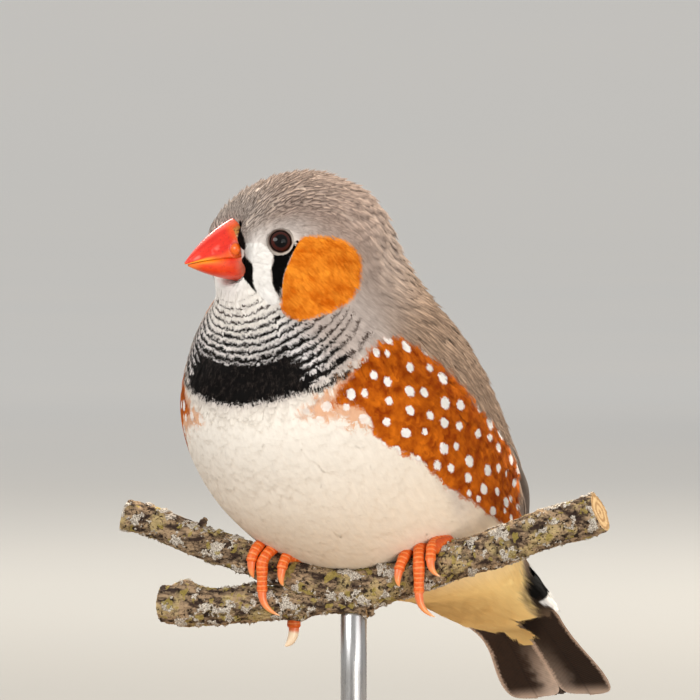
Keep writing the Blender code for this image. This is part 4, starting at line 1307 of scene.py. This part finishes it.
def build_feet(leg_mat, claw_mat):
    for side, hub, toes in (("left", LEFT_HUB, LEFT_TOES), ("right", RIGHT_HUB, RIGHT_TOES)):
        verts, quads, tris, info = [], [], [], []
        count = 0

        def add(v, f, i):
            nonlocal count
            verts.append(v)
            quads.append(f[0] + count)
            tris.append(f[1] + count)
            info.append(i)
            count += len(v)

        def claw(name, line, length, drift, curl, thick, pale, blunt=1.5):
            ahead = line[-1] - line[-2]
            ahead /= np.linalg.norm(ahead)
            v, f, i = claw_mesh(line[-1] - ahead * 0.35, ahead, length + 0.6, drift, curl, thick, blunt)
            piece = make_mesh(f"claw_piece_{side}_{name}", row(v), list(f), [
                ("scale", "FLOAT_VECTOR", i), ("pale", "FLOAT", np.full(len(v), pale))])
            piece.data.materials.append(claw_mat)
            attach(piece, "root")
            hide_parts(f"claw_{side}_{name}")

        names = []
        for name, fan, top, end, drop, length, drift in toes:
            line = toe_line(hub, fan, top, end, drop)
            add(*toe_mesh(line, 3))
            names.append(f"toe_{side}_{name}")
            claw(name, line, length, drift, -0.5, 0.66, 0.0)
        line = hind_line(hub + 0.3, HIND_DROP[side])
        add(*toe_mesh(line, 2, pad=1.25))
        names.append(f"toe_{side}_hind")
        claw("hind", line, HIND_CLAW[side], -1.3, 0.6, 0.78, 1.0, 3.0)
        # the root of the inner toe, lying across the top of the perch
        slide, turn = (1.9, 62.0) if side == "left" else (2.6, 26.0)
        across = [round_perch(hub + 0.6 + slide * k, math.radians(50.0 + turn * k), 0.72)
                  for k in np.linspace(0.0, 1.0, 12)]
        add(*toe_mesh(np.array(across), 1, pad=1.1))
        # the foot's sole where the toes meet, and the shank going up into the plumage
        pitch, sides = 1.1, 24
        foot = round_perch(hub, math.radians(116.0), 1.2)
        lean = np.array([0.0, -0.42, 0.91])
        line, at = resample(np.array([foot + lean * k for k in np.linspace(-0.4, 7.0, 20)]), 50)
        scale = np.mod(at / pitch, 1.0)
        radii = 0.95 + 0.95 * bump(at, 0.3, 1.4) + 0.04 * (smooth(scale * 4) - scale)
        v = tube(line, radii, sides)
        outer = np.tile(0.5 + 0.5 * np.sin(circle(sides)), len(line))
        i = np.stack([np.repeat(at / pitch, sides), outer, np.zeros(len(v))], -1)
        add(np.vstack([v, line[0], line[-1]]), capped(len(line), sides), np.vstack([i, i[:1], i[-1:]]))
        obj = make_mesh(f"foot_{side}", row(np.vstack(verts)), [np.vstack(quads), np.vstack(tris)],
                        [("scale", "FLOAT_VECTOR", np.vstack(info))])
        obj.data.materials.append(leg_mat)
        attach(obj, "root")
        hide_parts(*names)


# ---- long feathers of wings and tail ------------------------------------------------------
def vane_material():
    n = Nodes("long_feathers")
    col, edged = n.attribute("tone", "Color"), n.attribute("tone", "Alpha")
    along, across, outer = n.parts("vane")
    side = abs(across)
    barb = n.math("SINE", (along * 22.0 + side * -2.6) * 14.0)
    coarse = n.noise(700.0, 3.0)
    fine = n.noise(2800.0, 2.0)
    rim = (fine - 0.5) * 0.25 + side
    pale = n.most(n.ramp(rim, 0.80, 0.97), n.ramp(along, 0.93, 0.99))
    pale = n.most(pale, n.ramp(along, 0.82, 0.94) * n.ramp(outer, 0.1, 0.3))
    col = n.mix(col, n.mix(col, srgb(238, 212, 194), 0.74), pale * edged)
    # the outer tail feathers pale towards the middle of the tail
    web = n.ramp(coarse * 0.6 + across, 0.40, 1.15) * n.ramp(along, 0.45, 0.88) * outer
    col = n.mix(col, srgb(238, 216, 200), web * 0.85)
    # the dark shaft, the barbs' slanting lines and a coarse mottle
    col = n.darker(col, 0.55, n.ramp(side, 0.06, 0.015, 0.0, 0.6))
    col = n.darker(col, 0.72, n.ramp(barb, -0.2, 1.0) * 0.35)
    col = n.darker(col, 0.8, n.ramp(coarse, 0.45, 0.75))
    n.bump(barb * 0.5 + fine, 0.2, 0.0001)
    return n.set(Base_Color=col, Roughness=0.65, Sheen_Weight=0.04, Specular_IOR_Level=0.16)


def vane_grid(place, length_rows=26, width_cols=9):
    """A long feather: place(s, w) gives its points for s in 0..1 and w in -1..1."""
    s = np.linspace(0, 1, length_rows)[:, None] * np.ones(width_cols)
    w = np.ones(length_rows)[:, None] * np.linspace(-1, 1, width_cols)
    return place(s, w), s, w


def vane_profile(s, taper):
    """Share of the full width along a long feather, with a rounded end."""
    rounded = ((s - (1 - taper)) / taper).clip(0, 1)
    return (0.42 + 0.58 * step(s, 0.0, 0.35)) * np.sqrt(1 - rounded ** 2)


class VaneSet:
    """Long feathers gathered into one piece."""

    def __init__(self):
        self.verts, self.quads, self.vane, self.tone = [], [], [], []
        self.count = 0

    def add(self, points, s, w, colour, edge, rng, web=0.0):
        rows_n, cols = s.shape
        self.verts.append(points.reshape(-1, 3))
        self.quads.append(grid_faces(rows_n, cols, offset=self.count))
        self.vane.append(np.stack([s.ravel(), w.ravel(), np.full(s.size, web)], -1))
        c = colour * (1 + rng.uniform(-0.12, 0.12))
        col = np.concatenate([np.broadcast_to(c, (s.size, 3)), np.full((s.size, 1), edge)], -1)
        self.tone.append(col)
        self.count += s.size

    def build(self, name, mat, nodes):
        obj = make_mesh(name, row(np.vstack(self.verts)), [np.vstack(self.quads)], [
            ("vane", "FLOAT_VECTOR", np.vstack(self.vane)), ("tone", "FLOAT_COLOR", np.vstack(self.tone)),
        ])
        obj.data.materials.append(mat)
        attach(obj, "root")
        if nodes:
            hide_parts(*nodes)
        return obj


def wing_vane(vs, side, g0, g1, f0, f1, width, height, colour, rng):
    """One wing feather whose middle line runs from (f0, g0) to (f1, g1); its root lies under the coverts."""
    def place(s, w):
        t, phi = wing_place(f0 + (f1 - f0) * s, g0 + (g1 - g0) * smooth(s * 1.1))
        per_phi = look(t, phi * side)[3]
        phi = phi + w * 0.5 * width * vane_profile(s, 0.14) / per_phi
        p, n, _, _ = look(t, phi * side)
        h = wing_height(t, np.abs(phi)) - 0.35 + (0.3 + height) * step(s, 0.1, 0.6)
        floor = 0.05 + height * 0.3 - 0.8 * (1 - step(s, 0.05, 0.40))
        h = np.maximum(h, floor) + 0.06 * w - 0.09 * w * w * width
        top = flank_top(t)
        h = h - 0.45 * step(np.degrees(np.abs(phi)), top - 5.0, top)
        return pose(p + n * h[..., None])
    vs.add(*vane_grid(place), colour, 0.50, rng)


def build_wings(mat):
    brown, dark = srgb(126, 105, 90), srgb(84, 69, 58)
    # count; g at the root, its step, g at the tip, its step; f at root and tip, its step; width, height
    primaries = (8, 1.02, -0.055, 0.86, -0.075, 0.34, 0.90, 0.013, 3.0, 0.02, dark)
    secondaries = (6, 0.66, -0.075, 0.46, -0.060, 0.30, 0.74, 0.010, 3.6, 0.20, mix(dark, brown, 0.5))
    tertials = (4, 0.40, -0.120, 0.30, -0.085, 0.26, 0.66, -0.05, 4.4, 0.26, brown)
    for name, side in (("left", 1.0), ("right", -1.0)):
        rng = np.random.default_rng(21 if side > 0 else 22)
        vs = VaneSet()
        # a closed pad under the feathers, so that no gap shows between them
        f = np.linspace(0.02, 0.97, 60)[:, None] * np.ones(32)
        g = np.ones(60)[:, None] * np.linspace(-0.04, 1.28, 32)
        t, psi = wing_place(f, g)
        p, n, _, _ = look(t, psi * side)
        pts = pose(p + n * (wing_height(t, psi) - 0.40)[..., None])
        under = step(np.degrees(psi), flank_top(t) - 6.0, flank_top(t) - 1.0).reshape(-1)
        pad_colour = mix(np.tile(brown * 0.7, (f.size, 1)), srgb(150, 70, 16), under)
        vs.add(pts, f * 0.5, g * 2 - 1, pad_colour, 0.0, rng)
        for count, g0, dg0, g1, dg1, f0, f1, df1, width, height, shade in (primaries, secondaries, tertials):
            for k in range(count):
                wing_vane(vs, side, g0 + dg0 * k, g1 + dg1 * k, f0 + 0.01 * k, f1 + df1 * k, width,
                          height + 0.03 * k, shade, rng)
        vs.build(f"wing_feathers_{name}", mat, [f"wing_{name}"])


def tail_vane(q):
    """Shape of the tail feather at q, from -1 on the bird's right to 1 on its left."""
    outer = abs(q) > 0.9
    late = 1.0 if q > 0 else 0.0

    def place(s, w):
        t = 13.2 + (20.0 - 13.2) * s * (1 - 0.035 * abs(q) ** 2) - 0.03 * (1 - abs(q)) * s
        r = sections(t)
        half = 9.4 - 0.8 * step(t, 15.0, 16.3) + 1.7 * step(t, 16.3, 18.5)
        near = 1 - step(t, 14.0 + 0.9 * late, 16.2 + 0.5 * late)
        back = 0.5 + 0.22 * near
        middle_u, middle_z = (r[..., k] * back + r[..., k + 2] * (1 - back) for k in (0, 1))
        if outer:
            x = np.sign(q) * (half * 0.51) + w * 0.5 * half * 1.04 * vane_profile(s, 0.20)
        else:
            x = q * half * 0.72 + w * 0.5 * (5.0 + 1.4 * (1 - abs(q))) * vane_profile(s, 0.10)
        x = x + 0.5 * step(t, 15.4, 17.0)
        lift = 0.50 - abs(q) ** 1.2 - 0.05 * w * w + 0.16 * w * np.sign(-q)
        return pose(np.stack([x, middle_u + TAIL_AHEAD[1] * lift, middle_z - TAIL_AHEAD[0] * lift], -1))
    return place


def build_tail(mat):
    """Twelve tail feathers, the middle pair on top and the outer ones lowest."""
    rng = np.random.default_rng(31)
    vs = VaneSet()
    for k in sorted(range(12), key=lambda k: -abs(k - 5.5)):
        q = (k - 5.5) / 5.5
        outer = abs(q) > 0.9
        points, s, w = vane_grid(tail_vane(q), 40, 9)
        mirror = -1.0 if outer and q > 0 else 1.0
        web = 0.0 if not outer else 1.0 if q < 0 else 0.35
        vs.add(points, s, w * mirror, srgb(46, 29, 17), 0.9 if outer else 0.2, rng, web)
    vs.build("tail_feathers", mat, ["tail"])


# ---- bark, stand, floor -------------------------------------------------------------------
def fork_height(s):
    return -4.8 + 0.9 * step(s, -17.0, 0.0) - 0.25 * step(s, 0.0, 6.0)


def fork_radius(s):
    return 2.75 - 0.9 * step(s, -11.0, 0.0) + 0.25 * step(s, 0.0, 6.0) + 0.45 * bump(s, -22.0, 2.5)


def bark_material():
    n = Nodes("bark")
    lichen, crack, green = n.parts("crust")
    inside, rings, _ = n.parts("cut_end")
    small = n.noise(1500.0, 5.0, 0.65)
    tiny = n.noise(5200.0, 3.0)
    patch = n.noise(260.0, 3.0, 0.6)
    along = n.noise(900.0, 4.0, 0.6, n.stretched(0.25, 1.0, 1.0))
    col = n.mix(srgb(60, 46, 40), srgb(176, 150, 120), n.ramp(along, 0.38, 0.62))
    col = n.mix(col, srgb(206, 184, 130), n.ramp(patch, 0.52, 0.64, 0.0, 0.6))
    col = n.mix(col, srgb(38, 29, 25), n.most(n.ramp(crack, 0.30, 0.06), n.ramp(small, 0.47, 0.36)))
    pale = n.mix(srgb(128, 116, 104), srgb(226, 218, 206), n.ramp(tiny, 0.35, 0.62))
    col = n.mix(col, pale, n.ramp((small - 0.5) * 0.9 + lichen, 0.40, 0.56))
    moss = n.mix(srgb(120, 104, 44), srgb(196, 176, 96), tiny)
    col = n.mix(col, moss, n.ramp((tiny - 0.5) * 0.8 + green, 0.45, 0.62) * 0.7)
    rings = n.math("SINE", small * 1.2 + rings * 16.0)
    wood = n.mix(srgb(206, 174, 128), srgb(170, 132, 88), n.ramp(rings, -0.5, 1.0))
    col = n.mix(col, wood, n.ramp(inside, 0.4, 0.6))
    n.bump(tiny * 0.5 + small + along, 0.8, 0.0006)
    return n.set(Base_Color=col, Roughness=0.9, Specular_IOR_Level=0.15)


def fractal(p, scale, octaves=4, seed=0.0):
    out = np.empty(len(p))
    for i, q in enumerate(p):
        v = Vector((q[0] * scale + seed, q[1] * scale, q[2] * scale))
        out[i] = mnoise.fractal(v, 0.9, 2.1, octaves)
    return out


# knots on the branch and on its fork: place along, angle round it, size
PERCH_KNOTS = ((-20.0, 0.4, 0.9), (-9.0, 4.4, 0.7), (6.5, 4.9, 1.3), (10.5, 1.0, 0.6), (27.0, 2.4, 0.9),
               (35.0, 0.6, 0.7))
FORK_KNOTS = ((-22.0, 1.4, 0.9), (-12.0, 2.2, 0.7), (-4.0, 4.6, 0.9))
# short broken twigs: place along, angle round the branch, length, thickness
TWIGS = ((6.8, 4.75, 2.2, 0.75), (-19.5, 1.2, 2.0, 0.7), (30.0, 2.2, 1.6, 0.6))
BARK_SIDES, TWIG_SIDES = 112, 20


class BarkSet:
    """Stretches of bark gathered into one piece."""

    def __init__(self):
        self.verts, self.quads, self.tris, self.cut, self.crust = [], [], [], [], []
        self.count = 0

    def add(self, verts, quads, crust=(0.0, 1.0, 0.0), cut=(0.0, 0.0, 0.0), tris=None):
        self.verts.append(verts)
        self.quads.append(quads + self.count)
        if tris is not None:
            self.tris.append(tris + self.count)
        for rows, data in ((self.cut, cut), (self.crust, crust)):
            rows.append(np.broadcast_to(data, (len(verts), 3)))
        self.count += len(verts)


def add_branch(bark, start, end, count, height_of, radius_of, knots):
    """A branch as a finely noised tube with cracks, crusts and knots, and both sawn ends."""
    s = np.linspace(start, end, count)
    line = perch_line(s)
    line[:, 2] = height_of(s)
    line = line + np.stack([0.0 * s, 0.12 * np.sin(s * 0.55 + 1.0), 0.16 * np.sin(s * 0.42)], -1)
    ss, aa = np.repeat(s, BARK_SIDES), np.tile(circle(BARK_SIDES), len(s))
    base = tube(line, radius_of(s), BARK_SIDES, ACROSS, True)
    rough = fractal(base, 0.55, 4) * 0.16 + fractal(base, 1.7, 4, 9.0) * 0.10
    ridge = np.abs(fractal(base * np.array([0.35, 1.0, 1.0]), 1.3, 3, 4.0)) * 0.22
    lump = np.zeros(len(base))
    for place, angle, size in knots:
        round_it = np.mod(aa - angle + math.pi, 2 * math.pi) - math.pi
        lump += size * 0.75 * np.exp(-(np.hypot(ss - place, round_it * 2.6) / (0.9 + size)) ** 2)
    crack = np.abs(fractal(base * np.array([0.30, 1.0, 1.0]), 2.2, 3, 6.0))
    plate = step(fractal(base, 0.50, 4, 31.0) + 0.28 * fractal(base, 2.6, 2, 3.0), 0.20, 0.36)
    crinkle = np.abs(fractal(base, 3.0, 3, 12.0))
    green = step(fractal(base, 0.70, 3, 57.0), 0.28, 0.50)
    r = radius_of(ss) + rough - ridge + 0.10 + lump
    r = r - 0.16 * (1 - step(crack, 0.0, 0.12)) * (1 - plate) + plate * (0.10 + 0.38 * crinkle)
    v = tube(line, r.reshape(len(s), BARK_SIDES), BARK_SIDES, ACROSS, True)
    crust = np.stack([plate * (0.55 + 0.9 * crinkle), crack * 3.0, green], -1)
    bark.add(v, grid_faces(len(s), BARK_SIDES, wrap=True), crust)
    scales = np.linspace(1.0, 0.0, 12)
    wood = np.repeat((scales <= 0.93).astype(float), BARK_SIDES)
    for end_at, flip in ((0, True), (len(s) - 1, False)):
        ring = v.reshape(len(s), BARK_SIDES, 3)[end_at]
        centre = ring.mean(0)
        face = (centre + (ring - centre)[None] * scales[:, None, None]).reshape(-1, 3)
        quads = grid_faces(len(scales), BARK_SIDES, wrap=True)
        cut = np.stack([wood, np.repeat(scales, BARK_SIDES), wood * 0], -1)
        bark.add(face, quads[:, ::-1] if flip else quads, cut=cut)


def build_perch(mat):
    """Main branch, the stub of its fork and the broken twigs, in one piece."""
    bark = BarkSet()
    add_branch(bark, PERCH_START, PERCH_END, 520, perch_rise, perch_radius, PERCH_KNOTS)
    add_branch(bark, FORK_START, FORK_END, 210, fork_height, fork_radius, FORK_KNOTS)
    for s, angle, length, size in TWIGS:
        out = unit(ACROSS * math.cos(angle) + np.array([0, 0, 1.0]) * math.sin(angle))
        k = np.linspace(0, 1, 14)[:, None]
        reach = float(perch_radius(s)) - 0.6
        line = perch_line(np.array(s)) + out * (reach + length * k) + ALONG * 0.9 * k ** 2
        radii = size * (1.35 - 0.75 * k[:, 0] + 0.10 * np.sin(k[:, 0] * 19))
        verts = np.vstack([tube(line, radii, TWIG_SIDES), line[0], line[-1]])
        quads, tris = capped(len(k), TWIG_SIDES)
        bark.add(verts, quads, tris=tris)
    obj = make_mesh("perch_bark", row(np.vstack(bark.verts)), [np.vstack(bark.quads), np.vstack(bark.tris)],
                    [("cut_end", "FLOAT_VECTOR", np.vstack(bark.cut)),
                     ("crust", "FLOAT_VECTOR", np.vstack(bark.crust))])
    obj.data.materials.append(mat)
    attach(obj, "root")
    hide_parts("perch", "perch_fork")


def wood_material():
    n = Nodes("stand_wood")
    rings = n.noise(90.0, 2.0, 0.5, n.stretched(1.0, 0.10, 1.0), 0.6)
    grain = n.noise(2600.0, 4.0, 0.7, n.stretched(1.0, 0.05, 1.0))
    lines = n.math("SINE", rings * 60.0)
    col = n.mix(srgb(150, 122, 90), srgb(166, 137, 102), n.ramp(lines, -1.0, 1.0))
    col = n.mix(col, srgb(112, 86, 60), n.ramp(grain, 0.55, 0.75, 0.0, 0.5))
    n.bump(grain * 0.6 + rings, 0.08, 0.0003)
    return n.set(Base_Color=col, Roughness=0.5, Coat_Weight=0.15, Coat_Roughness=0.3)


def steel_material():
    n = Nodes("stand_steel")
    brushed = n.noise(3000.0, 3.0, 0.6, n.stretched(1.0, 1.0, 0.05))
    n.bump(brushed, 0.08, 0.0001)
    return n.set(Base_Color=n.mix((0.36, 0.36, 0.37), (0.62, 0.62, 0.63), brushed),
                 Roughness=n.ramp(brushed, 0.2, 0.9, 0.22, 0.38), Metallic=1.0)


def lathe(name, centre, profile, sides, mat, node):
    """A turned piece; profile holds (radius, height) from its underside to its top."""
    a = circle(sides)
    rings = []
    for r, h in profile:
        rings.append(np.stack([centre[0] + r * np.cos(a), centre[1] + r * np.sin(a), np.full(sides, h)], -1))
    verts = np.concatenate(rings)
    verts = np.vstack([verts, [centre[0], centre[1], profile[0][1]], [centre[0], centre[1], profile[-1][1]]])
    quads, tris = capped(len(profile), sides)
    obj = make_mesh(name, verts * MM, [quads, tris])
    obj.data.set_sharp_from_angle(angle=math.radians(40))
    obj.data.materials.append(mat)
    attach(obj, "root")
    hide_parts(node)
    return obj


def build_stand():
    wood, steel = wood_material(), steel_material()
    edge = [(42.5, 0.0)] + [(43.0, 0.5 + 0.5 * k) for k in range(9)]
    edge += [(43.0 - 1.1 * math.sin(a) * 0.5, 4.6 + 0.5 * a) for a in (0.4, 0.8)]
    edge += [(41.9 + 1.1 * math.cos(a), 6.9 + 1.1 * math.sin(a)) for a in np.linspace(0.0, math.pi / 2, 9)]
    edge += [(r, 8.0) for r in (38.0, 30.0, 20.0, 10.0)]
    lathe("stand_base_turned", (0.0, 0.0), edge, 160, wood, "stand_base")
    under = perch_line(np.array(4.6))
    centre = (under[0], BASE_U - under[1])
    collar = [(4.9, 8.0), (5.0, 8.3), (5.0, 10.3), (4.8, 10.9), (4.3, 11.25), (3.4, 11.3), (3.2, 11.1),
              (2.2, 11.1)]
    lathe("stand_collar_turned", centre, collar, 64, steel, "stand_collar")
    top = PERCH_LIFT + float(fork_height(4.6)) - 1.5
    rod = [(2.0, 8.0), (2.0, 12.0), (2.0, 20.0), (2.0, top - 0.4), (1.7, top)]
    lathe("stand_rod_turned", centre, rod, 48, steel, "stand_rod")


def floor_material():
    n = Nodes("floor")
    away = n.new("ShaderNodeVectorMath", operation="LENGTH")
    n.put(away.inputs[0], n.place())
    # darker towards the middle: painted shade that evens out the lamps' pool of light on the floor near the
    # bird
    grey = n.ramp(n.out(away, "Value"), 0.25, 1.75, 0.19, 0.93)
    col = n.mix(NOTHING, n.mix((0.96, 0.98, 1.0), (1.0, 1.0, 1.0), n.noise(6.0, 2.0)), grey)
    return n.set(Base_Color=col, Roughness=0.7, Specular_IOR_Level=0.2)


def build_floor():
    """A pale floor whose far edge curves up all round into a plain backdrop."""
    profile = [(0.0, 0.0), (1.0, 0.0), (2.4, 0.0), (2.9, 0.0)]
    bend = np.linspace(0.06, math.pi / 2, 20)
    profile += [(2.9 + 2.0 * math.sin(a), 2.0 - 2.0 * math.cos(a)) for a in bend]
    profile += [(4.9, 3.0), (4.9, 6.0)]
    sides = 96
    a = circle(sides)
    rings = [np.stack([r * np.cos(a), r * np.sin(a), np.full(sides, z)], -1) for r, z in profile]
    verts = np.concatenate(rings)
    obj = make_mesh("floor", verts, [grid_faces(len(profile), sides, wrap=True)])
    obj.data.materials.append(floor_material())
    obj.visible_shadow = False
    obj.visible_diffuse = False


# ---- light and camera ---------------------------------------------------------------------
VIEW_AZIMUTH, VIEW_ELEVATION, VIEW_DISTANCE = 36.0, 2.0, 2.5
VIEW_RIGHT, VIEW_UP = 0.95, 34.6  # what the camera looks at, in millimetres right of and above the origin
PHOTO_WIDTH, POINTS_PER_MM, SENSOR = 700, 6.5, 36.0
LIT_PLACE = (0.0, 0.0, 0.07)
# name, azimuth, elevation, distance, size, power, colour
LIGHTS = (
    ("key", -12, 26, 0.9, 0.5, 4.6, (1.0, 0.985, 0.95)),
    ("fill", 76, 12, 1.1, 0.9, 3.35, (1.0, 0.98, 0.95)),
    ("low", 58, -10, 0.9, 0.4, 2.9, (1.0, 0.95, 0.86)),
    ("rim_right", 188, 50, 0.8, 0.22, 15.5, (1.0, 0.90, 0.75)),
    ("rim_left", -120, 36, 0.8, 0.22, 2.2, (1.0, 0.94, 0.86)),
)


def direction(azimuth, elevation):
    """The way from the bird towards a place seen at these angles, in degrees."""
    a, e = math.radians(azimuth), math.radians(elevation)
    return Vector((math.sin(a) * math.cos(e), -math.cos(a) * math.cos(e), math.sin(e)))


def set_up(name, data, target, away, distance):
    """An object at a distance from its target, turned towards it."""
    obj = bpy.data.objects.new(name, data)
    obj.location = target + away * distance
    obj.rotation_euler = (-away).to_track_quat("-Z", "Y").to_euler()
    bpy.context.scene.collection.objects.link(obj)
    return obj


def build_lights():
    for name, azimuth, elevation, distance, size, power, colour in LIGHTS:
        data = bpy.data.lights.new(name, "AREA")
        data.shape = "DISK"
        data.size = size
        data.energy = power
        data.color = colour
        set_up(name, data, Vector(LIT_PLACE), direction(azimuth, elevation), distance)
    world = bpy.data.worlds.new("world")
    bpy.context.scene.world = world
    world.use_nodes = True
    background = world.node_tree.nodes["Background"]
    background.inputs["Color"].default_value = (1.0, 0.965, 0.91, 1.0)
    background.inputs["Strength"].default_value = 0.58
    bpy.context.scene.view_settings.view_transform = "Standard"
    bpy.context.scene.view_settings.look = "None"


def build_camera():
    a = math.radians(VIEW_AZIMUTH)
    target = Vector(row(np.array([VIEW_RIGHT * math.cos(a), -VIEW_RIGHT * math.sin(a), VIEW_UP])))
    data = bpy.data.cameras.new("camera")
    data.sensor_width = SENSOR
    data.lens = SENSOR * VIEW_DISTANCE / (PHOTO_WIDTH / POINTS_PER_MM * MM)
    data.clip_start = 0.05
    data.clip_end = 50.0
    away = direction(VIEW_AZIMUTH, VIEW_ELEVATION)
    bpy.context.scene.camera = set_up("camera", data, target, away, VIEW_DISTANCE)


def main():
    build_camera()
    build_lights()
    build_floor()
    build_stand()
    build_perch(bark_material())
    plumage = plumage_material()
    build_skin(plumage)
    build_coat(plumage)
    vane = vane_material()
    build_wings(vane)
    build_tail(vane)
    eye = eye_material()
    build_eye("eye_ball_left", 1.0, "eye_left", eye)
    build_eye("eye_ball_right", -1.0, "eye_right", eye)
    mandible("bill_horn_upper", RIDGE, EDGE_UP, 3.95, True, "bill_upper", bill_material(True))
    mandible("bill_horn_lower", KEEL, EDGE_LOW, 3.9, False, "bill_lower", bill_material(False))
    build_feet(leg_material(), horn_material())


main()
